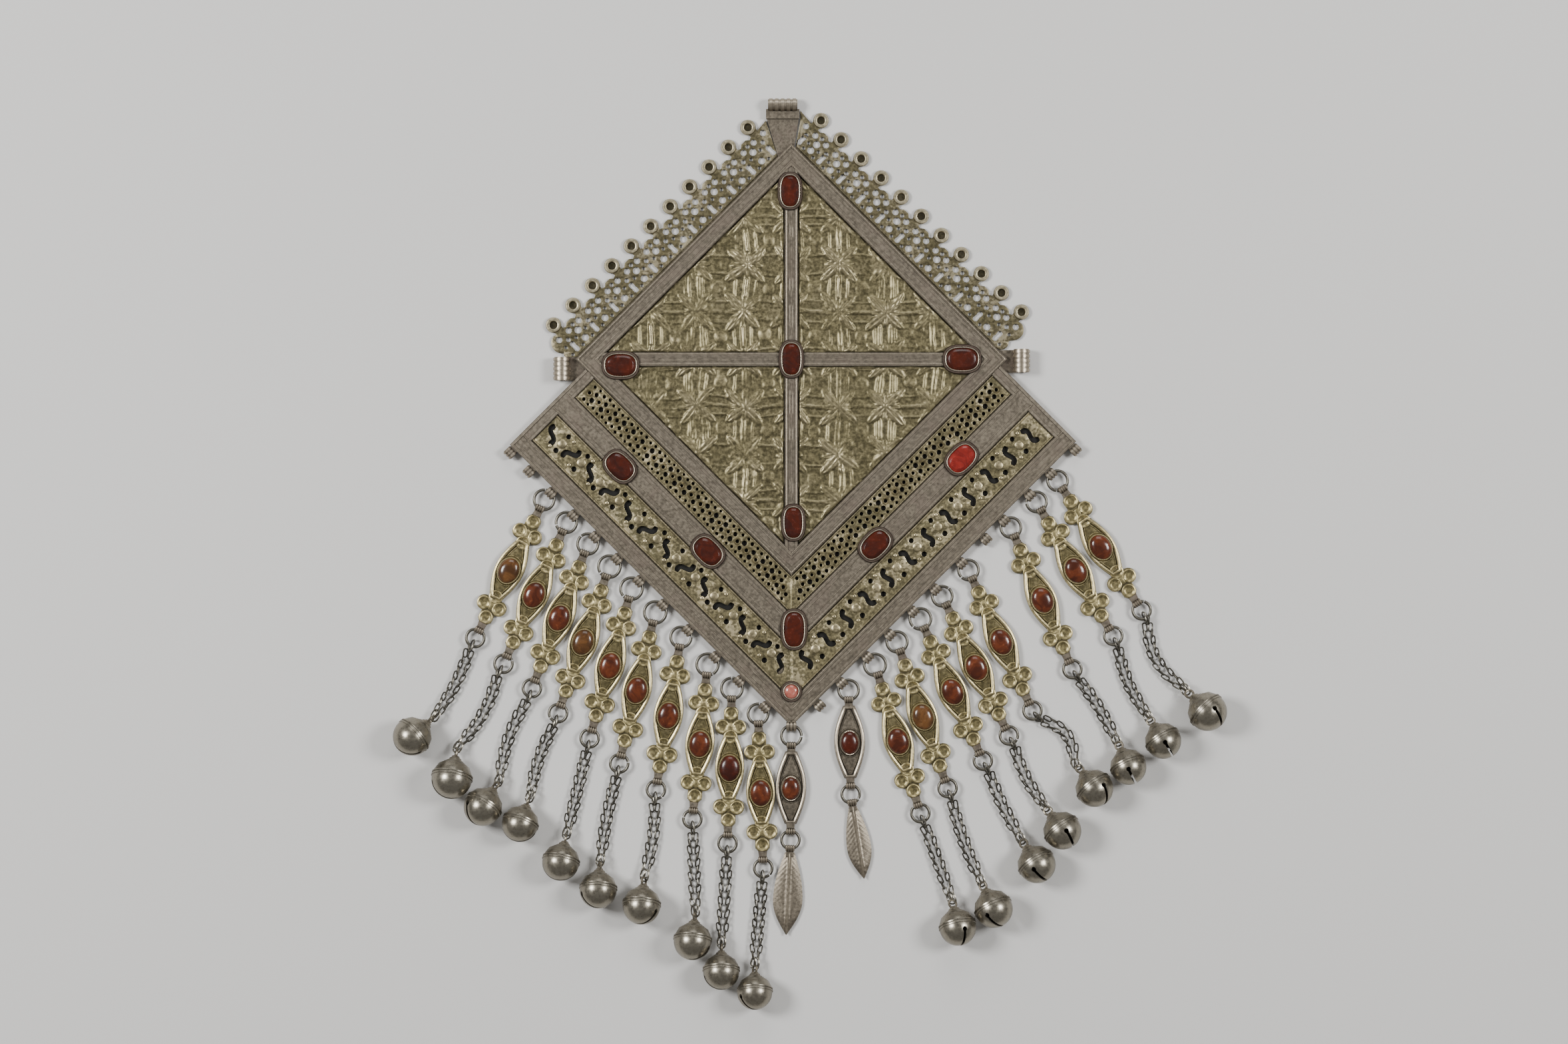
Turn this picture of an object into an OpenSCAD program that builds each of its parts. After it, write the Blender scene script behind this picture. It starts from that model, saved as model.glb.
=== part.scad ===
// Chest ornament in silver, fire gilding and carnelian, lying flat on its back.
// Z = 0 is the back of the plate, +Y points to the top hanging tube, and the origin is under
// the centre stone. Most of the plate is laid out in a square frame turned 45 degrees: there,
// a distance v is measured square to a lower edge, and a place u along that edge.

/* [Plate outline] */
// Half side of the square field, to the outer edge of its frame
field_half = 57.25; // [55:0.25:59]
// Width of the field's silver frame
field_bar_w = 6.25; // [5:0.25:7]
// Width of the two silver cross bars
cross_bar_w = 5; // [4:0.25:6]
// Width of the finely pierced inner band
lace_w = 10.5; // [9.5:0.25:11.5]
// Width of the silver strip that holds the stones of the V
stone_strip_w = 8.75; // [8:0.25:9.5]
// Width of the scroll-pierced outer band
scroll_w = 14; // [13:0.25:15]
// Width of the outer rim
rim_w = 6.75; // [6:0.25:8]
// Width of the silver strip across the end of each arm
arm_end_w = 4.75; // [4:0.25:6]
// Reach of the left arm past the centre, along its edge
left_arm = 52; // [50:0.25:54]
// Reach of the right arm past the centre, along its edge
right_arm = 53.75; // [51:0.25:55]

/* [Metal] */
// Thickness of the silver base sheet
sheet_t = 1; // [0.8:0.1:1.2]
// Thickness of the gilt sheets
gilt_t = 0.8; // [0.6:0.1:1]
// Height of the silver strips above the back
strip_top = 2.6; // [2.4:0.1:3]
// Height of the fine ridges above the strips
ridge_h = 0.35; // [0.2:0.05:0.5]
// Width of the fine ridges
ridge_w = 0.9; // [0.6:0.1:1.2]
// Gap between pieces that are not soldered together
gap = 0.1; // [0.05:0.05:0.15]

/* [Repousse] */
// Spacing of the stamped grid
stamp_pitch = 17.75; // [16:0.25:19]
// Height of the stamped relief
stamp_h = 0.5; // [0.3:0.1:0.6]

/* [Crest] */
// Number of finials on each side
finials = 11; // [9:1:11]
// Spacing of the finials
finial_pitch = 10.4; // [10.2:0.1:10.5]
// Radius of the finial discs
finial_r = 3; // [2.6:0.1:3.2]
// Width of the openwork below the finials
crest_w = 12.4; // [11.5:0.1:13]
// Thickness of the openwork
crest_t = 1; // [0.8:0.1:1]

/* [Hanging tubes] */
// Outer radius of the two side tubes
side_tube_r = 3.2; // [3:0.1:3.4]
// Length of the two side tubes
side_tube_len = 8.75; // [8:0.25:10]
// Bore radius of the two side tubes
side_bore_r = 2.1; // [1.8:0.1:2.2]
// Outer radius of the top tube
top_tube_r = 2.4; // [2.2:0.1:2.6]
// Length of the top tube
top_tube_len = 11; // [10:0.25:12]
// Bore radius of the top tube
top_bore_r = 1.5; // [1.2:0.1:1.6]

/* [Fringe] */
// Mean radius of the upper jump rings
upper_ring_r = 3.75; // [3.6:0.05:3.9]
// Mean radius of the lower jump rings
lower_ring_r = 3.35; // [3.3:0.05:3.5]
// Wire radius of the jump rings
ring_wire_r = 0.6; // [0.5:0.05:0.6]
// Greatest width of a pendant's boat body
boat_w = 11; // [10:0.1:11.4]
// Radius of the bells' bodies
bell_r = 7; // [6.5:0.1:7.1]
// Wall of the bells
bell_wall = 0.7; // [0.5:0.1:0.9]
// Width of the slit in a bell
slit_w = 1; // [0.8:0.1:1.4]

/* [Hidden] */
$fn = 48;
eps = 0.01;

// Distances of the plate's edges from the centre, square to a lower edge
field_in = field_half - field_bar_w;
strip_v0 = field_half + lace_w;
strip_v1 = strip_v0 + stone_strip_w;
strip_mid = (strip_v0 + strip_v1) / 2;
rim_v0 = strip_v1 + scroll_w;
rim_v1 = rim_v0 + rim_w;
scroll_mid = (strip_v1 + rim_v0) / 2;
tip_cut = rim_v1 * sqrt(2) - 1.5;
// The base stays whole from here to the tip, under the round stone
corner_tab = strip_v1 + 3;

// Stamped stars and ribs
star_len = 7;
star_ray_w = 1.3;
stamp_rib_w = 1.2;

// Piercings
border_h = 0.4;
pin_hole_r = 0.85;
lace_hole_count = 18;
lace_pitch = 5.6;
s_height = 7.2;
s_width = 1.6;
s_sway = 1.1;
s_count_left = 13;
s_first_left = -44.25;
s_pitch_left = 10.17;
s_count_right = 12;
s_first_right = -75.75;
s_pitch_right = 10.8;

// Stem of the top tube: left and right edge, foot of its collar, axis of the tube
stem_x0 = -9.25;
stem_x1 = 2.75;
collar_y = 90.25;
top_tube_x = -3.25;
top_tube_y = 95.4;

// Centres of the two side tubes
SIDE_TUBES = [[-86, -3.6], [86.25, -0.6]];

// Heights of the stacked pieces
gilt_z = sheet_t + gap;
ledge = 1.3;
collet_top = 3.3;
stone_seat = 1.7;
table_z = 4.3;

// Plate stones: centre x and y, long side, short side, angle of the long side from +X
STONES = [
    [-0.5, 63, 11.7, 6.8, 90],
    [-64, -2.25, 11.6, 8.3, 0],
    [0, 0, 11.8, 6.9, 90],
    [64, 0, 12, 8.5, 0],
    [0.75, -61.25, 11.5, 6.7, 90],
    [-64.25, -40.25, 11.2, 8, -45],
    [-31.25, -72, 11.4, 8, -45],
    [1, -101.25, 13, 7.6, 90],
    [31.5, -69.5, 11.6, 8, 45],
    [63.75, -37.25, 11.2, 8, 45]
];
// The small round stone in the lower corner of the scroll band
ROUND_STONE = [0, -124.5];
round_stone_r = 2.7;
bezel_w = 1.2;
STONE_COUNT = len(STONES) + 1;

// Pendants of the left arm: place of the edge loop, swing of the plate, x, y, size and turn of
// the bell, sideways bow of the chain, extra radius of the upper ring
LEFT_FRINGE = [
    [-28.3, -26.5, -141.7, -141.1, 1.03, -48, 1.2, 0],
    [-16.4, -24, -126.9, -156.9, 1.08, -9, 2.2, 0.1],
    [-5, -21.2, -115.3, -167.4, 1.02, -31, -2, 0.1],
    [6.7, -19.3, -101.4, -173.8, 0.97, -19, -1.4, 0.35],
    [18.4, -15.6, -86.2, -188.1, 0.99, -11, 0, 0.35],
    [31, -13.4, -72.2, -198.4, 0.99, -3, -0.7, 0.35],
    [44.4, -9.3, -56, -204.3, 1.01, -5, 1.2, 0.1],
    [58.7, -5.6, -36.9, -217.6, 1.01, -5, 0, 0.3],
    [71.5, -1.6, -26.2, -229, 0.97, 0, 0, 0.2],
    [85.2, 1.9, -13.7, -236.7, 0.94, 0, 0, 0]
];
// Pendants of the right arm, the same columns
RIGHT_FRINGE = [
    [-72.5, 1.2, 0, 0, 0, 0, 0, 0],
    [-58.8, 17, 62.2, -212.4, 0.985, 12, 0, 0.3],
    [-46.9, 19.1, 75.6, -205.5, 1.02, 25, -0.9, 0.1],
    [-34.6, 23.8, 91.7, -188.9, 1.01, 32, -0.6, 0.2],
    [-22.8, 25.6, 101.3, -176.3, 1.01, 36, -1.4, 0],
    [-8.9, 24.5, 113.3, -160.5, 1, 37, 4.2, 0],
    [13.6, 23.5, 126, -152.5, 0.96, 23, 0.9, 0],
    [27.2, 29.8, 139, -142.8, 0.96, 31, -1.7, 0],
    [38.4, 33, 155.5, -131.8, 1.04, 45, -4, 0]
];
// Edge loops that have lost their pendants
EMPTY_LEFT = [-49.8, -39.8];
EMPTY_RIGHT = [51.3, 3.9, -84.3];
CENTRE_SWING = -0.5;
FRINGE = concat(LEFT_FRINGE, [[0, CENTRE_SWING, 0, 0, 0, 0, 0, 0]], RIGHT_FRINGE);
LEFT_COUNT = len(LEFT_FRINGE);
CENTRE = LEFT_COUNT;
SHORT = [CENTRE, CENTRE + 1];

// Rings, loops and bails
ring_z = 1.95;
loop_r = 1.9;
loop_len = 3.8;
bail_r = 1.35;
bail_len = 3.4;
bail_bore = 1;
loop_v = rim_v1 + 2.1;
tip_loop_y = -tip_cut - 1.6;
lower_bail_seat = ring_seat(lower_ring_r, bail_len);

// Stations along a long pendant, measured down from its upper bail's axis
plate_t = 1.1;
petal_1 = 5.5;
cross_1 = 10.9;
boat_0 = 13.6;
boat_1 = 38;
stone_at = 26.1;
cross_2 = 40.6;
petal_2 = 45.7;
long_len = 51.2;
// Stations along a short pendant
short_boat_0 = 2.4;
short_boat_1 = 29.6;
short_stone_at = 16.2;
short_len = 32.4;
boat_end_w = 6.2;
boat_rim_w = 0.9;
boat_rim_h = 2.2;
petal_r = 2.8;
petal_x = 3.1;
pend_collet_l = 11.6;
pend_collet_w = 9.4;
pend_stone_l = 9.7;
pend_stone_w = 7.7;
short_stone_l = 8.6;
short_stone_w = 6.6;
pend_seat = 0.9;
pend_collet_top = 2.7;
dome_r = 2.4;
dome_h = 0.8;

// Chains: share of the run, height of the middle of the chain and share of its full width
CHAIN_ROUTE = [[0, 1.95, 0.6], [0.18, 1.3, 1], [0.82, 1.5, 1], [1, 3.2, 0.6]];
chain_half_w = 2.3;
chain_half_h = 1.1;

// Bells: height of the cap's foot, loop, height of the middle at rest, tilt and roll
cap_z = 4.2;
bell_loop_r = 1.5;
bell_loop_out = bell_loop_r + 0.45;
bell_loop_at = bell_r + 2.35;
bell_rest = bell_r + 0.4;
bell_tilt = 20;
BELL_ROLL = [-18, 10, 32, -6, 0, 22, -30];

// Leaves: swing, length, width
LEAVES = [[-2.6, 31, 10.8], [9, 27.4, 8.8]];
leaf_crown = 11;
leaf_top = 2.4;

// Distance from a ring's centre to a tube that it runs through, so that the curved wire
// stays in the middle of the bore
function ring_seat(radius, tube_len) = (radius + sqrt(radius * radius - tube_len * tube_len / 4)) / 2;
function turned(p, a) = [p[0] * cos(a) - p[1] * sin(a), p[0] * sin(a) + p[1] * cos(a)];
function down(a) = [sin(a), -cos(a)];
function is_short(i) = i == SHORT[0] || i == SHORT[1];

// Outline points of an oval; a power above 2 squares its corners
function oval(l, w, power = 2, n = 24) = [
    for (i = [0:n - 1])
        let (c = cos(360 * i / n), s = sin(360 * i / n))
            [l / 2 * sign(c) * pow(abs(c), 2 / power), w / 2 * sign(s) * pow(abs(s), 2 / power)]
];

// Radius of a pendant's upper ring, and the place of its centre
function upper_r(i) = upper_ring_r + FRINGE[i][7];
function ring_place(i) =
    let (seat = ring_seat(upper_r(i), loop_len))
        i < LEFT_COUNT ? turned([FRINGE[i][0], -(loop_v + seat)], -45)
        : i == CENTRE ? [0, tip_loop_y - seat]
        : turned([loop_v + seat, FRINGE[i][0]], -45);
function upper_bail_seat(i) = ring_seat(upper_r(i), bail_len);
function pendant_len(i) = is_short(i) ? short_len : long_len;
function lower_ring_place(i) =
    ring_place(i) + down(FRINGE[i][1]) * (upper_bail_seat(i) + pendant_len(i) + lower_bail_seat);
function bell_place(i) = [FRINGE[i][2], FRINGE[i][3]];
// Outermost point of a bell's loop, seen from above
function bell_loop_place(i) =
    bell_place(i) - down(FRINGE[i][5]) * FRINGE[i][4] * (bell_loop_at + bell_loop_out) * cos(bell_tilt);

// Closed skin through rings of points that all have the same count
module loft(rings) {
    n = len(rings[0]);
    m = len(rings);
    polyhedron(
        points = [for (r = rings) for (p = r) p],
        faces = concat(
            [[for (k = [0:n - 1]) k]],
            [for (j = [0:m - 2]) for (k = [0:n - 1])
                [j * n + k, (j + 1) * n + k, (j + 1) * n + (k + 1) % n, j * n + (k + 1) % n]],
            [[for (k = [n - 1:-1:0]) (m - 1) * n + k]]
        ),
        convexity = 4
    );
}

module square_frame() {
    rotate([0, 0, -45])
        children();
}

// The V between two distances from the centre, with square arm ends
module v_band(v0, v1, left_end, right_end) {
    polygon([
        [-left_end, -v1], [v1, -v1], [v1, right_end],
        [v0, right_end], [v0, -v0], [-left_end, -v0]
    ]);
}

// One arm of such a band, mitred at the tip of the V
module left_arm_band(v0, v1, left_end) {
    polygon([[-left_end, -v1], [v1 - gap, -v1], [v0 - gap, -v0], [-left_end, -v0]]);
}

module right_arm_band(v0, v1, right_end) {
    polygon([[v1, -v1 + gap], [v1, right_end], [v0, right_end], [v0, -v0 + gap]]);
}

module stone_outlines(grow) {
    for (s = STONES) {
        translate([s[0], s[1]])
            rotate(s[4])
                polygon(oval(s[2] + 2 * grow, s[3] + 2 * grow, 2.6));
    }
    translate(ROUND_STONE)
        circle(r = round_stone_r + grow, $fn = 32);
}

// Stem between the field's apex and the collar of the top tube
module stem_outline(grow) {
    polygon([
        [stem_x0 + 4.25 - grow, 76], [stem_x1 - 2.25 + grow, 76],
        [stem_x1 + grow, collar_y], [stem_x0 - grow, collar_y]
    ]);
}

// Tabs between the field's side corners and the side tubes
module tabs(grow) {
    translate([-84 - grow, -8 - grow])
        square([10 + 2 * grow, 8.75 + 2 * grow]);
    translate([74 - grow, -5 - grow])
        square([10 + 2 * grow, 8.5 + 2 * grow]);
}

module base_outline() {
    difference() {
        union() {
            square_frame() {
                square(2 * field_half, center = true);
                difference() {
                    v_band(field_half - eps, rim_v1, left_arm, right_arm);
                    v_band(field_half + ledge, strip_v0 - ledge, left_arm - arm_end_w - 0.5,
                        right_arm - arm_end_w - 0.5);
                    scroll_windows();
                }
            }
            tabs(0);
            stem_outline(0);
        }
        translate([-20, -tip_cut - 20])
            square([40, 20]);
    }
}

module scroll_windows() {
    polygon([
        [-left_arm + arm_end_w + 0.5, -rim_v0 + ledge], [corner_tab, -rim_v0 + ledge],
        [corner_tab, -strip_v1 - ledge], [-left_arm + arm_end_w + 0.5, -strip_v1 - ledge]
    ]);
    polygon([
        [strip_v1 + ledge, -corner_tab], [rim_v0 - ledge, -corner_tab],
        [rim_v0 - ledge, right_arm - arm_end_w - 0.5], [strip_v1 + ledge, right_arm - arm_end_w - 0.5]
    ]);
}

// Silver strips seen from above; inset narrows every strip from both sides
module strip_outline(inset) {
    difference() {
        union() {
            square_frame() {
                difference() {
                    square(2 * (field_half - inset), center = true);
                    square(2 * (field_in + inset), center = true);
                }
                v_band(strip_v0 + inset, strip_v1 - inset, left_arm - arm_end_w / 2,
                    right_arm - arm_end_w / 2);
                v_band(rim_v0 + inset, rim_v1 - inset, left_arm - inset, right_arm - inset);
                translate([-left_arm + inset, -rim_v1 + inset])
                    square([arm_end_w - 2 * inset, rim_v1 - field_half - inset]);
                translate([field_half, right_arm - arm_end_w + inset])
                    square([rim_v1 - field_half - inset, arm_end_w - 2 * inset]);
            }
            square([cross_bar_w - 2 * inset, 2 * 72], center = true);
            square([2 * 72, cross_bar_w - 2 * inset], center = true);
        }
        translate([-20, -tip_cut - 20])
            square([40, 20]);
    }
}

module ridge_outline() {
    difference() {
        strip_outline(0.25);
        strip_outline(0.25 + ridge_w);
    }
}

// A short tube along X with raised bands round it
module banded_tube(r, len, bands) {
    rotate([0, 90, 0]) {
        cylinder(r = r - 0.35, h = len, center = true);
        for (k = [0:bands - 1])
            translate([0, 0, -len / 2 + (k + 0.5) * len / bands])
                cylinder(r = r, h = len / bands * 0.6, center = true);
    }
}

module bore_along_x(r, len) {
    rotate([0, 90, 0])
        cylinder(r = r, h = len, center = true);
}

// Places its children at every edge loop, with the tube's axis along X
module at_loops() {
    square_frame() {
        for (u = concat([for (f = LEFT_FRINGE) f[0]], EMPTY_LEFT))
            translate([u, -loop_v, ring_z])
                children();
        for (u = concat([for (f = RIGHT_FRINGE) f[0]], EMPTY_RIGHT))
            translate([loop_v, u, ring_z])
                rotate([0, 0, 90])
                    children();
    }
    translate([0, tip_loop_y, ring_z])
        children();
}

module loop_body() {
    banded_tube(loop_r, loop_len, 3);
    translate([-1.5, 0.9, -1.6])
        cube([3, 1.6, 2.2]);
}

module side_tube_places() {
    for (p = SIDE_TUBES)
        translate([p[0], p[1], side_tube_r])
            rotate([0, 0, 90])
                children();
}

module top_tube_place() {
    translate([top_tube_x, top_tube_y, top_tube_r])
        children();
}

module frame() color("#a39d93") {
    difference() {
        union() {
            linear_extrude(sheet_t)
                base_outline();
            translate([0, 0, sheet_t])
                linear_extrude(strip_top - sheet_t)
                    strip_outline(0);
            translate([0, 0, strip_top])
                linear_extrude(ridge_h)
                    ridge_outline();
            translate([0, 0, sheet_t])
                linear_extrude(collet_top - sheet_t)
                    stone_outlines(bezel_w);
            side_tube_places()
                banded_tube(side_tube_r, side_tube_len, 5);
            top_tube_place()
                banded_tube(top_tube_r, top_tube_len, 5);
            translate([stem_x0 - 0.25, collar_y - eps, 0])
                cube([stem_x1 - stem_x0 + 0.5, top_tube_y - 1.6 - collar_y, 2.4]);
            at_loops()
                loop_body();
        }
        translate([0, 0, stone_seat])
            linear_extrude(5)
                stone_outlines(gap);
        side_tube_places()
            bore_along_x(side_bore_r, side_tube_len + 2);
        top_tube_place()
            bore_along_x(top_bore_r, top_tube_len + 4);
        at_loops()
            bore_along_x(bail_bore, loop_len + 1);
    }
}

// A gilt sheet for the quarter of the field on the side given by the signs of x and y
module quarter_outline(sx, sy, inset) {
    q = cross_bar_w / 2 + gap + inset;
    reach = sqrt(2) * (field_in - gap - inset) - q;
    difference() {
        polygon([[sx * q, sy * q], [sx * reach, sy * q], [sx * q, sy * reach]]);
        stone_outlines(bezel_w + gap + inset);
    }
}

module star() {
    for (a = [0:45:135])
        rotate(a)
            polygon([[-star_len, 0], [0, -star_ray_w], [star_len, 0], [0, star_ray_w]]);
}

// Stamped grid of ribs with an eight-rayed star on every crossing
module stamp_outline(sx, sy) {
    for (i = [0:3]) {
        translate([sx * i * stamp_pitch, sy * 2 * stamp_pitch])
            square([stamp_rib_w, 4 * stamp_pitch], center = true);
        translate([sx * 2 * stamp_pitch, sy * i * stamp_pitch])
            square([4 * stamp_pitch, stamp_rib_w], center = true);
        for (j = [0:3 - i])
            translate([sx * i * stamp_pitch, sy * j * stamp_pitch])
                star();
    }
}

module panel(sx, sy) {
    color("#b9ab86")
        translate([0, 0, gilt_z]) {
            linear_extrude(gilt_t)
                quarter_outline(sx, sy, 0);
            translate([0, 0, gilt_t])
                linear_extrude(stamp_h)
                    intersection() {
                        stamp_outline(sx, sy);
                        quarter_outline(sx, sy, 0.6);
                    }
        }
}

// One arm of a pierced band between two distances from the centre, clear of the collets
module arm_outline(side, v0, v1) {
    difference() {
        square_frame()
            if (side < 0)
                left_arm_band(v0, v1, left_arm - arm_end_w - gap);
            else
                right_arm_band(v0, v1, right_arm - arm_end_w - gap);
        stone_outlines(bezel_w + gap);
    }
}

// Raised wires along both edges of a pierced band
module arm_borders(side, v0, v1, w) {
    translate([0, 0, gilt_t])
        linear_extrude(border_h)
            difference() {
                arm_outline(side, v0, v1);
                arm_outline(side, v0 + w, v1 - w);
            }
}

// Small round piercings in two staggered rows along a lace band
module lace_holes(side) {
    v_mid = (field_half + strip_v0) / 2;
    square_frame()
        for (k = [0:lace_hole_count - 1]) {
            run = arm_end_w + 4 + k * lace_pitch;
            v = v_mid + (k % 2 == 0 ? 1.9 : -1.9);
            translate(side < 0 ? [run - left_arm, -v] : [v, right_arm - run])
                circle(r = pin_hole_r, $fn = 16);
        }
}

module lace(side) {
    color("#aaa085")
        translate([0, 0, gilt_z]) {
            linear_extrude(gilt_t)
                difference() {
                    arm_outline(side, field_half + gap, strip_v0 - gap);
                    lace_holes(side);
                }
            arm_borders(side, field_half + 0.4, strip_v0 - 0.4, 0.9);
        }
}

// Outline of one S-shaped piercing, standing along Y
function s_cut(flip) = concat(
    [for (t = [-1:0.25:1]) [flip * s_sway * sin(180 * t) + s_width / 2, t * s_height / 2]],
    [for (t = [1:-0.25:-1]) [flip * s_sway * sin(180 * t) - s_width / 2, t * s_height / 2]]
);

// S piercings turned this way and that, with a round hole in every second space
module scroll_cuts(side) {
    count = side < 0 ? s_count_left : s_count_right;
    first = side < 0 ? s_first_left : s_first_right;
    pitch = side < 0 ? s_pitch_left : s_pitch_right;
    square_frame()
        for (k = [0:count - 1]) {
            u = first + k * pitch;
            translate(side < 0 ? [u, -scroll_mid] : [scroll_mid, u])
                rotate(side < 0 ? 0 : 90) {
                    polygon(s_cut(k % 2 == 0 ? 1 : -1));
                    if (k % 2 == 0 && k < count - 1)
                        translate([pitch / 2, 2.8])
                            circle(r = pin_hole_r, $fn = 16);
                }
        }
}

module scroll(side) {
    color("#b8ad8c")
        translate([0, 0, gilt_z]) {
            linear_extrude(gilt_t)
                difference() {
                    arm_outline(side, strip_v1 + gap, rim_v0 - gap);
                    scroll_cuts(side);
                }
            arm_borders(side, strip_v1 + 0.4, rim_v0 - 0.4, 1);
        }
}

module stadium(len, w) {
    square([len - w, w], center = true);
    for (x = [-1, 1])
        translate([x * (len - w) / 2, 0])
            circle(d = w, $fn = 24);
}

// Openwork crest laid out along +X, with the field's edge on the X axis and its finials
// towards +Y; its depth runs from w_first at the first finial to w_last at the last
module crest_outline(first, w_first, w_last, top) {
    run = (finials - 1) * finial_pitch;
    slope = (w_last - w_first) / run;
    end = first + run + 2.6;
    difference() {
        union() {
            polygon([[top, gap], [end, gap], [end, w_last], [top, w_first + (top - first) * slope]]);
            translate([end, w_last - 3.9])
                circle(r = 3.9);
            translate([end, 3])
                circle(r = 2.85);
            for (k = [0:finials - 1])
                translate([first + k * finial_pitch, w_first + k * finial_pitch * slope]) {
                    translate([-1.7, -1])
                        square([3.4, 3]);
                    translate([0, 3])
                        circle(r = finial_r);
                }
        }
        for (k = [0:finials - 1]) {
            translate([first + k * finial_pitch, 4.2])
                rotate(90)
                    stadium(4.2, 1.7);
            translate([first + (k - 0.5) * finial_pitch, 4.6])
                circle(r = pin_hole_r, $fn = 16);
        }
    }
}

// Everything beyond the near edge of the stem, seen from the crest on one side
module stem_side(side) {
    x0 = side < 0 ? stem_x0 + 4.25 : stem_x1 - 2.25;
    x1 = side < 0 ? stem_x0 - 0.25 : stem_x1 + 0.25;
    polygon([
        [-side * 60, 70], [x0 + side * gap, 70], [x0 + side * gap, 76],
        [x1 + side * 2 * gap, collar_y], [x1 + side * 2 * gap, 120], [-side * 60, 120]
    ]);
}

module crest(side) {
    color("#a89f88")
        linear_extrude(crest_t)
            difference() {
                square_frame()
                    if (side < 0)
                        translate([-field_half, 0])
                            mirror([1, 1, 0])
                                crest_outline(-50, crest_w + 0.4, crest_w - 0.4, -60);
                    else
                        translate([0, field_half])
                            crest_outline(-55.5, crest_w - 1.4, crest_w + 1, -68);
                stem_side(side);
                tabs(gap);
                for (p = SIDE_TUBES)
                    translate(p)
                        square([2 * (side_tube_r + gap), side_tube_len + 2 * gap], center = true);
            }
}

// Table-cut stone: upright girdle, sloping crown and a flat table
module stone(i) {
    s = STONES[i - 1];
    base = stone_seat + gap;
    if (i <= len(STONES))
        color("#5a2016")
            translate([s[0], s[1], 0])
                rotate(s[4])
                    loft([
                        [for (p = oval(s[2], s[3], 2.6, 16)) [p[0], p[1], base]],
                        [for (p = oval(s[2], s[3], 2.6, 16)) [p[0], p[1], collet_top + 0.1]],
                        [for (p = oval(s[2] - 2.2, s[3] - 2.2, 2.6, 16)) [p[0], p[1], table_z]]
                    ]);
    else
        color("#9a3222")
            translate([ROUND_STONE[0], ROUND_STONE[1], 0])
                cabochon(2 * round_stone_r, 2 * round_stone_r, base, collet_top, 1.1);
}

// Domed stone: upright girdle and a round crown of the given height
module cabochon(l, w, z0, z1, crown) {
    loft(concat(
        [[for (p = oval(l, w, 2, 12)) [p[0], p[1], z0]]],
        [for (a = [0, 30, 58, 80])
            [for (p = oval(l * cos(a), w * cos(a), 2, 12)) [p[0], p[1], z1 + crown * sin(a)]]]
    ));
}

// Outline of a boat-shaped body between two stations down a pendant
module boat(t0, t1, end_w, mid_w) {
    polygon(concat(
        [for (f = [0:0.125:1]) [end_w / 2 + (mid_w - end_w) / 2 * sin(180 * f), -t0 - (t1 - t0) * f]],
        [for (f = [1:-0.125:0]) [-end_w / 2 - (mid_w - end_w) / 2 * sin(180 * f), -t0 - (t1 - t0) * f]]
    ));
}

module boat_rim(t0, t1, end_w, mid_w) {
    difference() {
        boat(t0, t1, end_w, mid_w);
        boat(t0 + 1.2, t1 - 1.2, end_w - 2 * boat_rim_w, mid_w - 2 * boat_rim_w);
    }
}

// Round-topped petal standing on the plate
module petal(x, t) {
    ball = (dome_r * dome_r + dome_h * dome_h) / (2 * dome_h);
    translate([x, -t, plate_t + dome_h - ball])
        intersection() {
            sphere(r = ball);
            translate([0, 0, ball - dome_h - 0.3])
                cylinder(r = ball, h = ball);
        }
}

// Small tube across a pendant for a jump ring, with a neck to the plate below or above it
module bail(t, way) {
    translate([0, -t, ring_z]) {
        rotate([0, 90, 0])
            cylinder(r = bail_r, h = bail_len, center = true);
        translate([-1.5, way > 0 ? -3.2 : 0.9, -1.6])
            cube([3, 2.3, 2]);
    }
}

module bail_bores(length) {
    for (t = [0, length])
        translate([0, -t, ring_z])
            bore_along_x(bail_bore, bail_len + 2);
}

module stone_pocket(t, l, w) {
    translate([0, -t, pend_seat])
        linear_extrude(5)
            rotate(90)
                polygon(oval(l + 2 * gap, w + 2 * gap));
}

module collet(t, l, w, top) {
    translate([0, -t, 0])
        linear_extrude(top)
            rotate(90)
                polygon(oval(l, w));
}

// Petal cross: one petal at t_end and one on each side at t_side
module petal_cross(t_end, t_side) {
    translate([0, -t_end])
        circle(r = petal_r);
    for (x = [-petal_x, petal_x])
        translate([x, -t_side])
            circle(r = petal_r);
}

module long_pendant() {
    difference() {
        union() {
            linear_extrude(plate_t) {
                petal_cross(petal_1, cross_1);
                petal_cross(petal_2, cross_2);
                translate([-2.9, -boat_0 - 1])
                    square([5.8, boat_0 + 1 - petal_1]);
                translate([-2.9, -petal_2])
                    square([5.8, petal_2 - boat_1 + 1]);
                boat(boat_0, boat_1, boat_end_w, boat_w);
            }
            translate([0, 0, plate_t])
                linear_extrude(boat_rim_h - plate_t)
                    boat_rim(boat_0, boat_1, boat_end_w, boat_w);
            for (t = [petal_1, petal_2])
                petal(0, t);
            for (t = [cross_1, cross_2])
                for (x = [-petal_x, petal_x])
                    petal(x, t);
            collet(stone_at, pend_collet_l, pend_collet_w, pend_collet_top);
            bail(0, 1);
            bail(long_len, -1);
        }
        stone_pocket(stone_at, pend_stone_l, pend_stone_w);
        bail_bores(long_len);
    }
}

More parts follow.
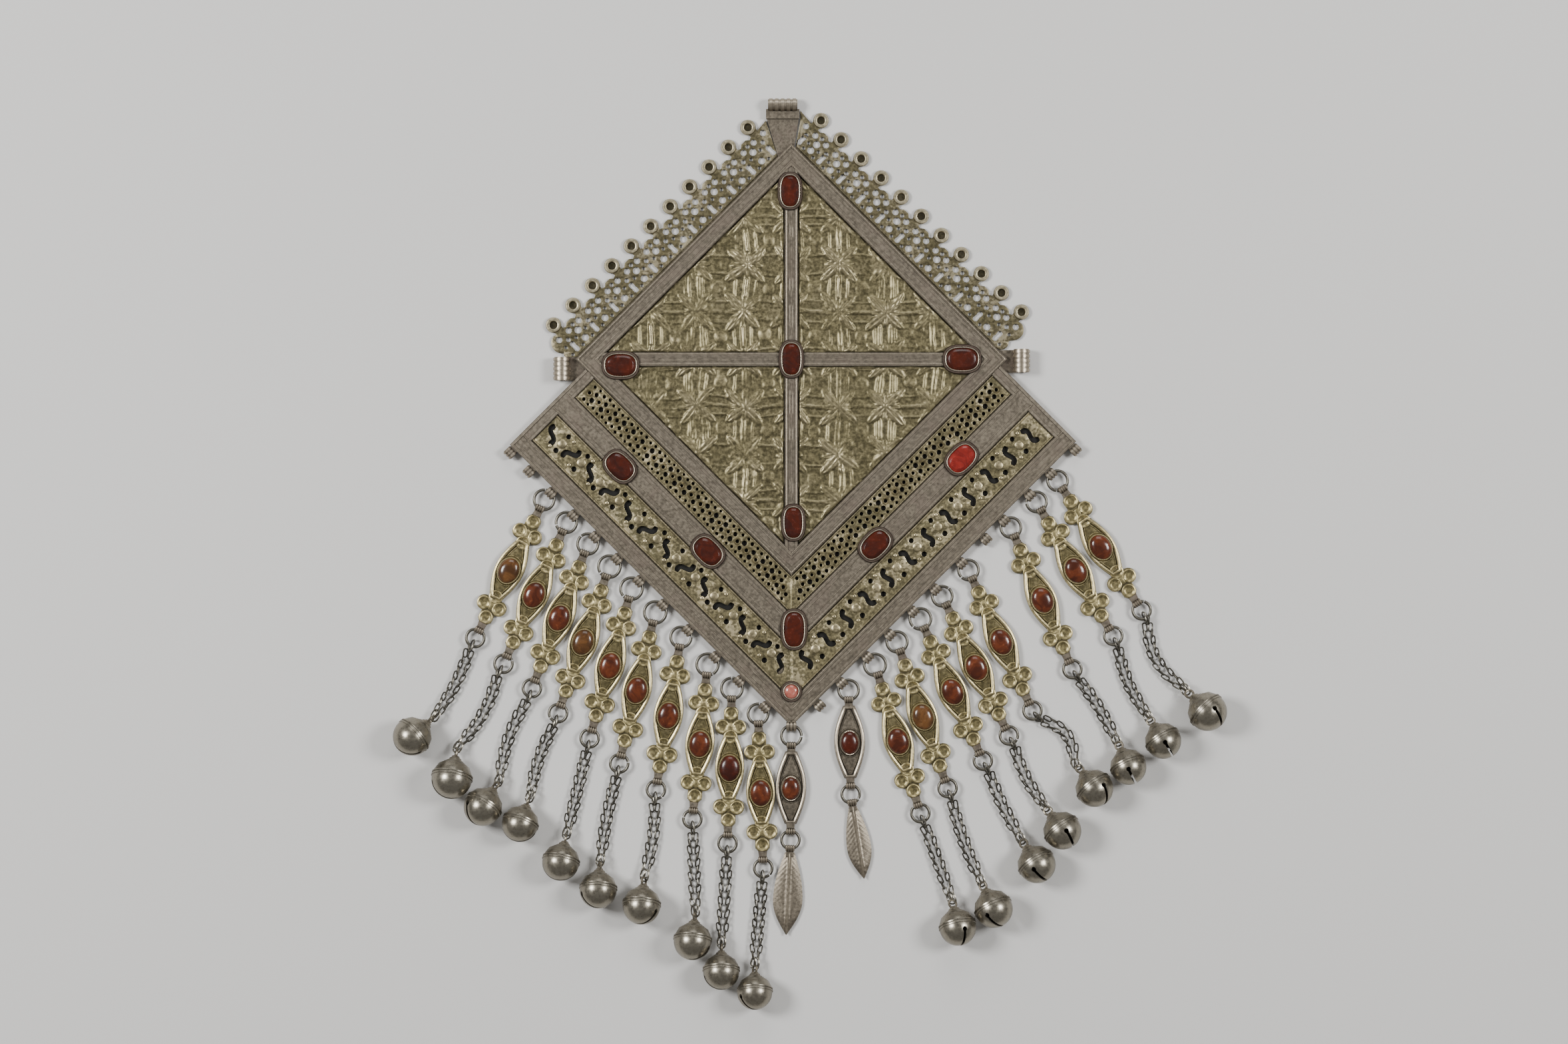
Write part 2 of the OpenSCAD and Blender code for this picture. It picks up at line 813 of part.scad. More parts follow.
module short_pendant() {
    difference() {
        union() {
            linear_extrude(plate_t)
                boat(short_boat_0, short_boat_1, 4.4, boat_w + 0.6);
            translate([0, 0, plate_t])
                linear_extrude(boat_rim_h - plate_t)
                    boat_rim(short_boat_0, short_boat_1, 4.4, boat_w + 0.6);
            collet(short_stone_at, pend_collet_l + 1, pend_collet_w + 0.2, pend_collet_top - 0.6);
            collet(short_stone_at, pend_collet_l - 1, pend_collet_w - 1.2, pend_collet_top + 0.4);
            bail(0, 1);
            bail(short_len, -1);
        }
        stone_pocket(short_stone_at, short_stone_l, short_stone_w);
        bail_bores(short_len);
    }
}

// Places its children at a pendant's upper bail, with the pendant hanging towards -Y
module at_pendant(i) {
    p = ring_place(i);
    translate([p[0], p[1], 0])
        rotate([0, 0, FRINGE[i][1]])
            translate([0, -upper_bail_seat(i), 0])
                children();
}

module pendant(i) {
    color(is_short(i) ? "#9b968c" : "#b5a87e")
        at_pendant(i)
            if (is_short(i))
                short_pendant();
            else
                long_pendant();
}

module pendant_stones(first, last) {
    color("#a4542e")
        for (i = [first:last])
            at_pendant(i)
                translate([0, is_short(i) ? -short_stone_at : -stone_at, 0])
                    rotate([0, 0, 90])
                        if (is_short(i))
                            cabochon(short_stone_l, short_stone_w, pend_seat + gap, pend_collet_top + 0.4, 1.6);
                        else
                            cabochon(pend_stone_l, pend_stone_w, pend_seat + gap, pend_collet_top, 1.5);
}

module ring(p, radius) {
    translate([p[0], p[1], ring_z])
        rotate_extrude()
            translate([radius, 0])
                circle(r = ring_wire_r, $fn = 24);
}

module rings_upper() {
    color("#8f8d89")
        for (i = [0:len(FRINGE) - 1])
            ring(ring_place(i), upper_r(i));
}

module rings_lower() {
    color("#8f8d89")
        for (i = [0:len(FRINGE) - 1])
            ring(lower_ring_place(i), lower_ring_r);
}

// Outer form of a double chain from a lower ring down to the floor and up to its bell
module chain(i) {
    p = lower_ring_place(i);
    run = norm(bell_loop_place(i) - p);
    way = (bell_loop_place(i) - p) / run;
    side = [-way[1], way[0]];
    start = lower_ring_r + ring_wire_r + 0.15;
    loft([for (c = CHAIN_ROUTE)
        let (s = start + (run - 0.2 - start) * c[0], off = FRINGE[i][6] * sin(180 * c[0]))
            [for (q = oval(2 * chain_half_w * c[2], 2 * chain_half_h, 2, 8))
                [p[0] + way[0] * s + side[0] * (off + q[0]),
                 p[1] + way[1] * s + side[1] * (off + q[0]), c[1] + q[1]]]
    ]);
}

module chains(first, last) {
    color("#85827c")
        for (i = [first:last])
            chain(i);
}

// Hollow round bell about Z, with a conical cap, two girdle ridges, a loop and a slit below
module bell() {
    difference() {
        union() {
            sphere(r = bell_r);
            for (z = [0.2, 1.2])
                translate([0, 0, z])
                    cylinder(r = bell_r + 0.3, h = 0.5);
            translate([0, 0, cap_z])
                cylinder(r1 = sqrt(bell_r * bell_r - cap_z * cap_z), r2 = 1.3, h = 4);
        }
        sphere(r = bell_r - bell_wall);
        translate([-slit_w / 2, -bell_r - 1, -bell_r - 1])
            cube([slit_w, 2 * bell_r + 2, bell_r - 1.5]);
        translate([0, 0, -2.5])
            rotate([90, 0, 0])
                cylinder(r = slit_w * 0.9, h = 3 * bell_r, center = true);
    }
    translate([0, 0, bell_loop_at])
        rotate([90, 0, 0])
            rotate_extrude()
                translate([bell_loop_r, 0])
                    circle(r = 0.45, $fn = 16);
}

module bells(first, last) {
    color("#8e8b84")
        for (i = [first:last]) {
            p = bell_place(i);
            translate([p[0], p[1], bell_rest * FRINGE[i][4]])
                rotate([-90 - bell_tilt, 0, FRINGE[i][5]])
                    rotate([0, 0, BELL_ROLL[i % len(BELL_ROLL)]])
                        scale(FRINGE[i][4])
                            bell();
        }
}

// Half width of a leaf at a share of its length
function leaf_half(f, w) = w / 2 * (f < 0.58 ? 0.3 + 0.7 * sin(90 * f / 0.58) : cos(90 * (f - 0.58) / 0.42)) + 0.2;

// Domed leaf hanging from the lower ring of a pendant
module leaf(i, swing, len, w) {
    p = lower_ring_place(i);
    color("#96938b")
        translate([p[0], p[1], 0])
            rotate([0, 0, swing])
                translate([0, -lower_bail_seat, 0])
                    difference() {
                        union() {
                            intersection() {
                                linear_extrude(4)
                                    polygon(concat(
                                        [for (f = [0:0.1:1]) [leaf_half(f, w), -1.6 - len * f]],
                                        [for (f = [1:-0.1:0]) [-leaf_half(f, w), -1.6 - len * f]]
                                    ));
                                translate([0, 0, leaf_top - leaf_crown])
                                    rotate([90, 0, 0])
                                        cylinder(r = leaf_crown, h = 3 * len, center = true);
                            }
                            bail(0, 1);
                        }
                        bail_bores(0);
                    }
}

frame();
panel(-1, 1);  // panel_top_left
panel(1, 1);  // panel_top_right
panel(-1, -1);  // panel_bottom_left
panel(1, -1);  // panel_bottom_right
lace(-1);  // lace_left
lace(1);  // lace_right
scroll(-1);  // scroll_left
scroll(1);  // scroll_right
crest(-1);  // crest_left
crest(1);  // crest_right
for (i = [1:STONE_COUNT])
    stone(i);
for (i = [1:len(FRINGE)])
    pendant(i - 1);
pendant_stones(0, CENTRE - 1);  // pendant_stones_left
pendant_stones(CENTRE, len(FRINGE) - 1);  // pendant_stones_right
rings_upper();
rings_lower();
chains(0, CENTRE - 1);  // chains_left
chains(CENTRE + 2, len(FRINGE) - 1);  // chains_right
bells(0, CENTRE - 1);  // bells_left
bells(CENTRE + 2, len(FRINGE) - 1);  // bells_right
for (k = [0:1])
    leaf(CENTRE + k, LEAVES[k][0], LEAVES[k][1], LEAVES[k][2]);
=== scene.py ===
"""Turkmen chest ornament: the visible model, built round the CAD frame."""
import math
import random
from collections import namedtuple

import bpy
import numpy as np
from mathutils import Matrix, Vector


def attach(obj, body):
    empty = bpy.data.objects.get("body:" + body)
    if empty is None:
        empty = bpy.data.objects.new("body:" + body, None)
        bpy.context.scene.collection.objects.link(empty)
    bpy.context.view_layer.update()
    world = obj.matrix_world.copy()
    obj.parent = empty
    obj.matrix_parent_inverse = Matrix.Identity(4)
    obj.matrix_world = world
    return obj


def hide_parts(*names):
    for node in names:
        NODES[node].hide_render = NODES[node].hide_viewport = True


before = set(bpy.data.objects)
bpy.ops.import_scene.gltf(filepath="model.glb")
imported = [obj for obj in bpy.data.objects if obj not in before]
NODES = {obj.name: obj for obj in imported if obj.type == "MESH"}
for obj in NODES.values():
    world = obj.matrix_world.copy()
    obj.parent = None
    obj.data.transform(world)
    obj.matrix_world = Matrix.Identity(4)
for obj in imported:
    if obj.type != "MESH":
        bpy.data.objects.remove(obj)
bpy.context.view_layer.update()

bl_info = {
    "name": "Turkmen chest ornament",
    "version": (1, 0, 0),
    "blender": (4, 5, 0),
    "location": "View3D > Sidebar > Ornament",
    "description": "Models the pieces of a silver chest ornament round its CAD frame",
    "category": "Object",
}

MM = 0.001
ON_AXIS = 0.001

# Places and sizes in millimetres, the same as in the CAD model: u runs along an arm, v away from the centre
FIELD_HALF, FIELD_IN = 57.25, 51.0
BAR_HALF, BAR_END = 2.5, 69
STRIP_V0, STRIP_V1 = 67.75, 76.5
RIM_V0, RIM_V1 = 90.5, 97.25
BASE_TIP_Y = -136.03
LEDGE, CORNER_TAB = 1.3, STRIP_V1 + 3
ARM_END_W = 4.75
GAP = 0.1

# Side, name and end of each arm
ARMS = ((-1, "left", 52.0), (1, "right", 53.75))

# Plate stones: x, y, length, width and turn
STONES = [
    (-0.5, 63, 11.7, 6.8, 90), (-64, -2.25, 11.6, 8.3, 0), (0, 0, 11.8, 6.9, 90), (64, 0, 12, 8.5, 0),
    (0.75, -61.25, 11.5, 6.7, 90), (-64.25, -40.25, 11.2, 8, -45), (-31.25, -72, 11.4, 8, -45),
    (1, -101.25, 13, 7.6, 90), (31.5, -69.5, 11.6, 8, 45), (63.75, -37.25, 11.2, 8, 45),
]
ROUND_STONE = (0, -124.5, 5.4, 5.4, 0)

# The fringe: a pendant's place on its arm, its swing, its bell, its chain's bow, its upper ring's extra size
Hanger = namedtuple("Hanger", "u swing bell_x bell_y bell_size bell_turn bow ring_more")
LEFT_FRINGE = [Hanger(*row) for row in (
    (-28.3, -26.5, -141.7, -141.1, 1.03, -48, 1.2, 0), (-16.4, -24, -126.9, -156.9, 1.08, -9, 2.2, 0.1),
    (-5, -21.2, -115.3, -167.4, 1.02, -31, -2, 0.1), (6.7, -19.3, -101.4, -173.8, 0.97, -19, -1.4, 0.35),
    (18.4, -15.6, -86.2, -188.1, 0.99, -11, 0, 0.35), (31, -13.4, -72.2, -198.4, 0.99, -3, -0.7, 0.35),
    (44.4, -9.3, -56, -204.3, 1.01, -5, 1.2, 0.1), (58.7, -5.6, -36.9, -217.6, 1.01, -5, 0, 0.3),
    (71.5, -1.6, -26.2, -229, 0.97, 0, 0, 0.2), (85.2, 1.9, -13.7, -236.7, 0.94, 0, 0, 0),
)]
RIGHT_FRINGE = [Hanger(*row) for row in (
    (-72.5, 1.2, 0, 0, 0, 0, 0, 0), (-58.8, 17, 62.2, -212.4, 0.985, 12, 0, 0.3),
    (-46.9, 19.1, 75.6, -205.5, 1.02, 25, -0.9, 0.1), (-34.6, 23.8, 91.7, -188.9, 1.01, 32, -0.6, 0.2),
    (-22.8, 25.6, 101.3, -176.3, 1.01, 36, -1.4, 0), (-8.9, 24.5, 113.3, -160.5, 1, 37, 4.2, 0),
    (13.6, 23.5, 126, -152.5, 0.96, 23, 0.9, 0), (27.2, 29.8, 139, -142.8, 0.96, 31, -1.7, 0),
    (38.4, 33, 155.5, -131.8, 1.04, 45, -4, 0),
)]
FRINGE = LEFT_FRINGE + [Hanger(0, -0.5, 0, 0, 0, 0, 0, 0)] + RIGHT_FRINGE
CENTRE = len(LEFT_FRINGE)
SHORT_ONES = (CENTRE, CENTRE + 1)
BELL_SIDES = (("left", range(CENTRE)), ("right", range(CENTRE + 2, len(FRINGE))))
BELL_ROLL = (-18, 10, 32, -6, 0, 22, -30)
BELL_LOOP_UP, BELL_LEAN = 11.3, 20
BROWN_STONES, DARK_STONES = (0, 3, 13), (8, 11)
RING_Z = 1.95
LOOP_V = RIM_V1 + 2.1
TIP_LOOP_Y = -137.63
LOOP_LEN, BAIL_LEN = 3.8, 3.4
UPPER_R, LOWER_R, RING_WIRE = 3.75, 3.35, 0.6

# Pendants: the boat from t0 to t1 with its widths, the stone's place and size, and its collar
Boat = namedtuple("Boat", "length t0 t1 end_w mid_w stone_at stone_l stone_w collar_l collar_w")
LONG = Boat(51.2, 13.6, 38, 4.6, 11.0, 26.1, 9.7, 7.7, 11.6, 9.4)
SHORT = Boat(32.4, 2.4, 29.6, 4.4, 11.6, 16.2, 8.6, 6.6, 10.6, 8.4)

# Leaf drops: swing, length and width
LEAVES = ((-2.6, 31, 10.8), (9, 27.4, 8.8))


# Places

def to_world(x, y):
    """A point of the square's own axes, in the ornament's axes."""
    c = math.sqrt(0.5)
    return (x * c + y * c, -x * c + y * c)


def shift(x, y, z=0.0):
    return Matrix.Translation((x, y, z))


def rotation(angle, axis="Z"):
    return Matrix.Rotation(math.radians(angle), 4, axis)


def down(angle):
    """The way that something hangs when it is swung by an angle."""
    a = math.radians(angle)
    return Vector((math.sin(a), -math.cos(a)))


def ring_seat(radius, tube_len):
    """Distance from a ring's centre to the middle of a tube that it passes through."""
    return (radius + math.sqrt(radius * radius - tube_len * tube_len / 4)) / 2


LOWER_SEAT = ring_seat(LOWER_R, BAIL_LEN)


def boat(i):
    return SHORT if i in SHORT_ONES else LONG


def upper_r(i):
    return UPPER_R + FRINGE[i].ring_more


def ring_place(i):
    seat = ring_seat(upper_r(i), LOOP_LEN)
    if i == CENTRE:
        return Vector((0, TIP_LOOP_Y - seat))
    if i < CENTRE:
        return Vector(to_world(FRINGE[i].u, -(LOOP_V + seat)))
    return Vector(to_world(LOOP_V + seat, FRINGE[i].u))


def bail_seat(i):
    return ring_seat(upper_r(i), BAIL_LEN)


def lower_ring_place(i):
    return ring_place(i) + down(FRINGE[i].swing) * (bail_seat(i) + boat(i).length + LOWER_SEAT)


def pendant_matrix(i):
    """From a pendant's own axes, its upper bail at the origin, to the ornament's, in millimetres."""
    return shift(*ring_place(i)) @ rotation(FRINGE[i].swing) @ shift(0, -bail_seat(i))


def bell_loop_place(i):
    """The middle of a bell's loop, seen from above."""
    hung = FRINGE[i]
    bell = Vector((hung.bell_x, hung.bell_y))
    return bell - down(hung.bell_turn) * hung.bell_size * BELL_LOOP_UP * math.cos(math.radians(BELL_LEAN))


# Outlines

def oval(length, width, power=2.0, n=48):
    """Points of an oval, whose corners fill out as its power grows."""
    points = []
    for k in range(n):
        a = 2 * math.pi * k / n
        c, s = math.cos(a), math.sin(a)
        points.append((length / 2 * math.copysign(abs(c) ** (2 / power), c),
                       width / 2 * math.copysign(abs(s) ** (2 / power), s)))
    return points


def arc(x, y, r, first, last, step):
    """Points round a centre, from one angle to another in whole degrees."""
    angles = [math.radians(a) for a in range(first, last, step)]
    return [(x + r * math.cos(a), y + r * math.sin(a)) for a in angles]


def placed(points, x, y, angle):
    a = math.radians(angle)
    c, s = math.cos(a), math.sin(a)
    return [(x + px * c - py * s, y + px * s + py * c) for px, py in points]


def raised(points, z):
    return [(x, y, z) for x, y in points]


def hole(x, y, r, n=10):
    return placed(oval(2 * r, 2 * r, 2, n), x, y, 0)


def stone_power(length, width):
    """Table-cut stones are ovals with full corners, and the small one is round."""
    return 2.6 if length != width else 2.0


def stone_outline(stone, grow, n):
    x, y, length, width, angle = stone
    return placed(oval(length + grow, width + grow, stone_power(length, width), n), x, y, angle)


def in_setting(x, y, grow):
    """Whether a point lies inside the outline of one of the stones, grown by a width."""
    for sx, sy, length, width, angle in STONES + [ROUND_STONE]:
        a = math.radians(-angle)
        dx, dy = x - sx, y - sy
        u = (dx * math.cos(a) - dy * math.sin(a)) / (length / 2 + grow)
        v = (dx * math.sin(a) + dy * math.cos(a)) / (width / 2 + grow)
        power = stone_power(length, width)
        if abs(u) ** power + abs(v) ** power < 1:
            return True
    return False


# Modelling

def mode(name):
    bpy.ops.object.mode_set(mode=name)


def start():
    """Object mode with nothing selected."""
    if bpy.context.object and bpy.context.object.mode != "OBJECT":
        mode("OBJECT")
    bpy.ops.object.select_all(action="DESELECT")


def pick(*objects):
    start()
    for o in objects:
        o.select_set(True)
    bpy.context.view_layer.objects.active = objects[0]


def edit_all(obj):
    """Edit mode with the whole of one mesh selected."""
    pick(obj)
    mode("EDIT")
    bpy.ops.mesh.select_all(action="SELECT")


def added(name, data):
    """A new object in the scene."""
    obj = bpy.data.objects.new(name, data)
    bpy.context.scene.collection.objects.link(obj)
    return obj


def tidy_mesh(obj, weld):
    """Welds the seams and turns the faces outwards."""
    edit_all(obj)
    bpy.ops.mesh.remove_doubles(threshold=weld * MM)
    bpy.ops.mesh.normals_make_consistent(inside=False)
    mode("OBJECT")
    return obj


def apply_place(obj):
    pick(obj)
    bpy.ops.object.transform_apply(location=True, rotation=True, scale=True)
    return obj


def meshed(obj):
    """Makes a curve a mesh in its place."""
    pick(obj)
    bpy.ops.object.convert(target="MESH")
    return apply_place(bpy.context.object)


def vertex_places(obj):
    """The places of a mesh's vertices, a row for each."""
    places = np.empty(len(obj.data.vertices) * 3)
    obj.data.vertices.foreach_get("co", places)
    return places.reshape(-1, 3)


def set_vertex_places(obj, places):
    obj.data.vertices.foreach_set("co", places.ravel())


def cut_sheet(loops, z0, z1, bevel):
    """A flat sheet sawn to an outline, with the loops inside it sawn out and its edges rounded."""
    data = bpy.data.curves.new("outline", "CURVE")
    data.dimensions = "2D"
    data.fill_mode = "BOTH"
    data.extrude = ((z1 - z0) / 2 - bevel) * MM
    data.bevel_depth = bevel * MM
    data.bevel_resolution = 1
    data.offset = -bevel * MM
    for loop in loops:
        spline = data.splines.new("POLY")
        spline.points.add(len(loop) - 1)
        spline.use_cyclic_u = True
        for point, (x, y) in zip(spline.points, loop):
            point.co = (x * MM, y * MM, 0, 1)
    obj = added("sheet", data)
    obj.location.z = (z0 + z1) / 2 * MM
    return tidy_mesh(meshed(obj), 0.001)


def drawn_wire(points, radius, closed=False, sides=1, notch=0.0):
    """A round wire along points, where a notch thins every second point, as on beaded wire."""
    data = bpy.data.curves.new("wire", "CURVE")
    data.dimensions = "3D"
    data.bevel_depth = radius * MM
    data.bevel_resolution = sides
    data.use_fill_caps = True
    spline = data.splines.new("POLY")
    spline.points.add(len(points) - 1)
    spline.use_cyclic_u = closed
    for k, (point, (x, y, z)) in enumerate(zip(spline.points, points)):
        point.co = (x * MM, y * MM, z * MM, 1)
        point.radius = 1 - notch * (k % 2)
    return tidy_mesh(meshed(added("wire", data)), 0.0005)


def turned(profile, steps=24, closed=False):
    """A form turned about Z on a lathe, from a profile of (radius, height) points."""
    mesh = bpy.data.meshes.new("turned")
    edges = [(k, k + 1) for k in range(len(profile) - 1)]
    if closed:
        edges.append((len(profile) - 1, 0))
    mesh.from_pydata([(r * MM, 0, z * MM) for r, z in profile], edges, [])
    obj = added("turned", mesh)
    edit_all(obj)
    bpy.ops.mesh.spin(steps=steps, angle=2 * math.pi, dupli=False, center=(0, 0, 0), axis=(0, 0, 1))
    mode("OBJECT")
    return tidy_mesh(obj, 3 * ON_AXIS)


def extruded_outline(outline, z0, steps):
    """An outline raised in steps of (height, shrink in x, shrink in y), closed on both ends."""
    bpy.ops.mesh.primitive_circle_add(vertices=len(outline), radius=MM, fill_type="NGON", location=(0, 0, 0))
    obj = bpy.context.object
    for vertex, (x, y) in zip(obj.data.vertices, outline):
        vertex.co = (x * MM, y * MM, z0 * MM)
    cx, cy = (sum(p[axis] for p in outline) / len(outline) * MM for axis in (0, 1))
    edit_all(obj)
    for rise, sx, sy in steps:
        bpy.ops.mesh.extrude_region_move(TRANSFORM_OT_translate={"value": (0, 0, rise * MM)})
        if (sx, sy) != (1, 1):
            bpy.ops.transform.resize(value=(sx, sy, 1), center_override=(cx, cy, 0))
    mode("OBJECT")
    return tidy_mesh(obj, 0.001)


def joined(name, parts):
    pick(*parts)
    if len(parts) > 1:
        bpy.ops.object.join()
    obj = bpy.context.object
    obj.name = obj.data.name = name
    return obj


def moved(obj, matrix):
    """Moves a mesh by a matrix in millimetres."""
    scaled = matrix.copy()
    scaled.translation = scaled.translation * MM
    obj.data.transform(scaled)
    return obj


def copy_of(model, matrix):
    return moved(added(model.name, model.data.copy()), matrix)


def discard(*objects):
    for o in objects:
        bpy.data.objects.remove(o)


def combined(body, others, operation):
    """Unites a body with other parts or cuts them out of it, and uses them up."""
    for other in others:
        modifier = body.modifiers.new("combine", "BOOLEAN")
        modifier.operation = operation
        modifier.solver = "EXACT"
        modifier.object = other
        pick(body)
        bpy.ops.object.modifier_apply(modifier=modifier.name)
        discard(other)
    return body


def finish_piece(parts, name, nodes, kind, angle=35):
    """Joins a piece, gives it its finish, hangs it under the root body and hides the CAD nodes that it stands
    for.
    """
    obj = joined(name, parts)
    bpy.ops.object.shade_smooth_by_angle(angle=math.radians(angle))
    obj.data.materials.clear()
    obj.data.materials.append(finish(kind))
    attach(obj, "root")
    if nodes:
        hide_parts(*nodes)


# Finishes

class Shade:
    """The output of a shader node that varies over the surface, usable in Python sums."""

    def __init__(self, tree, socket=None):
        self.tree = tree
        self.socket = socket

    def node(self, kind, settings=None, inputs=None, output=0):
        new = self.tree.nodes.new(kind)
        for key, value in (settings or {}).items():
            setattr(new, key, value)
        for key, value in (inputs or {}).items():
            if isinstance(value, Shade):
                self.tree.links.new(value.socket, new.inputs[key])
            else:
                new.inputs[key].default_value = value
        return Shade(self.tree, new.outputs[output])

    def math(self, operation, *values):
        return self.node("ShaderNodeMath", {"operation": operation}, dict(enumerate(values)))

    def __add__(self, other):
        return self.math("ADD", self, other)

    __radd__ = __add__

    def __sub__(self, other):
        return self.math("SUBTRACT", self, other)

    def __rsub__(self, other):
        return self.math("SUBTRACT", other, self)

    def __mul__(self, other):
        return self.math("MULTIPLY", self, other)

    __rmul__ = __mul__

    def between(self, low, high):
        """0 below low, 1 above high, smooth in between."""
        return self.node("ShaderNodeMapRange", {"interpolation_type": "SMOOTHSTEP"},
                         {"Value": self, "From Min": low, "From Max": high})

    def mixed(self, first, second):
        """The first colour where this is 0, the second where it is 1."""
        first, second = (c if isinstance(c, Shade) else (*c, 1.0) for c in (first, second))
        return self.node("ShaderNodeMix", {"data_type": "RGBA"}, {0: self, 6: first, 7: second}, 2)

    def noise(self, scale, detail=3.0, rough=0.55, distortion=0.0):
        """Noise over the surface, on these coordinates."""
        return self.node("ShaderNodeTexNoise", None, {"Vector": self, "Scale": scale, "Detail": detail,
                                                      "Roughness": rough, "Distortion": distortion})

    def bump(self, strength, distance):
        """A normal from this height, with its depth in millimetres."""
        return self.node("ShaderNodeBump", None,
                         {"Strength": strength, "Distance": distance * MM, "Height": self})


def new_material(name):
    """A material with one empty surface shader, and the object's own coordinates in it."""
    material = bpy.data.materials.new(name)
    material.use_nodes = True
    tree = material.node_tree
    tree.nodes.clear()
    output = tree.nodes.new("ShaderNodeOutputMaterial")
    shader = tree.nodes.new("ShaderNodeBsdfPrincipled")
    tree.links.new(shader.outputs[0], output.inputs[0])
    return material, shader, Shade(tree).node("ShaderNodeTexCoord", output=3)


def fill_sockets(shader, sockets):
    for key, value in sockets.items():
        if isinstance(value, Shade):
            value.tree.links.new(value.socket, shader.inputs[key])
        else:
            shader.inputs[key].default_value = value


def metal(name, colours, rub_and_light_heights, share=0.5, rough=0.42, shade_and_pit_colour=(0.018, 0.015, 0.011), grain=0.12, metallic=0.9,
          streak=0.0, blotch=0.6, low_shade=None):
    """Old hammered metal: painted shade in the crevices and low parts, body in the flats, brighter higher up.

    The colours are a dark tone, the body, a bright tone and the patches. The dark tone is mixed in at random
    by fine noise, and a deep copy of it paints shade below a pair of given heights, by a given share. Between
    two other given heights the colour grows bright: rubbing on raised relief, and painted light on the tops
    of round parts.
    """
    low, body, high, patch = colours
    material, shader, coords = new_material(name)
    z = coords.node("ShaderNodeSeparateXYZ", None, {0: coords}, 2)
    broad = coords.noise(45, 4)
    cloud = coords.noise(160, 4)
    fine = coords.noise(900, 3, 0.6)
    pits = coords.noise(2600, 2, 0.7)
    # Brighter with height between the two given heights: rubbing on raised relief, and painted light on the
    # tops of round parts such as tubes, rings and bells
    worn = (z + (cloud - 0.5) * 0.0006).between(rub_and_light_heights[0] * MM, rub_and_light_heights[1] * MM)
    base = fine.between(0.3, 0.7).mixed(low, body)
    base = ((broad * 0.55 + cloud * 0.45).between(share, share + 0.1) * blotch).mixed(base, patch)
    base = (worn * (0.45 + fine * 0.5)).mixed(base, high)
    if streak:
        base = ((cloud * 0.6 + fine * 0.4).between(0.52, 0.6) * streak).mixed(base, high)
    # Painted shade: below the given heights the colour darkens towards a deep copy of the dark tone, by the
    # given share
    if low_shade:
        shade_below = 1 - (z + (fine - 0.5) * 0.0003).between(low_shade[0] * MM, low_shade[1] * MM)
        base = (shade_below * low_shade[2]).mixed(base, tone(low, 0.35))
    # Painted shade: ambient occlusion darkens the colour in crevices and between close parts, and also makes
    # them rougher and less metallic
    closed = coords.node("ShaderNodeAmbientOcclusion", {"samples": 6}, {"Distance": MM}, 1)
    crevice_shade = 1 - closed.between(0.3, 0.9)
    base = (crevice_shade * 0.85).mixed(base, shade_and_pit_colour)
    base = (pits.between(0.6, 0.72) * 0.5).mixed(base, shade_and_pit_colour)
    fill_sockets(shader, {
        "Base Color": base,
        "Roughness": rough + (fine - 0.5) * 0.3 + crevice_shade * 0.3 - worn * 0.08,
        "Metallic": metallic - crevice_shade * 0.5,
        "Normal": (cloud * 0.5 + fine * 0.35 + pits * 0.15).bump(0.5, grain),
    })
    return material


def gem(name, deep, body, light, rough=0.16, coat=0.5):
    """Carnelian: cloudy red with darker veins and a worn polish."""
    material, shader, coords = new_material(name)
    cloud = coords.noise(190, 4, 0.6, 0.8)
    spot = coords.noise(700, 3, 0.6)
    base = cloud.between(0.36, 0.64).mixed(deep, body)
    base = ((cloud * 0.4 + spot * 0.6).between(0.55, 0.68) * 0.6).mixed(base, light)
    fill_sockets(shader, {
        "Base Color": base,
        "Roughness": rough + (spot - 0.5) * 0.25,
        "Coat Weight": coat,
        "Coat Roughness": 0.12,
        "IOR": 1.54,
        "Normal": spot.bump(0.3, 0.05),
    })
    return material


def plain_floor(name, colour):
    """A plain ground, a little uneven in colour and gloss."""
    material, shader, coords = new_material(name)
    grain = coords.noise(3, 4)
    base = grain.mixed(colour, tone(colour, 0.97))
    fill_sockets(shader, {"Base Color": base, "Roughness": 0.75 + grain * 0.15})
    return material


def tone(colour, strength, tint=(1, 1, 1)):
    return tuple(min(1.0, v * strength * t) for v, t in zip(colour, tint))


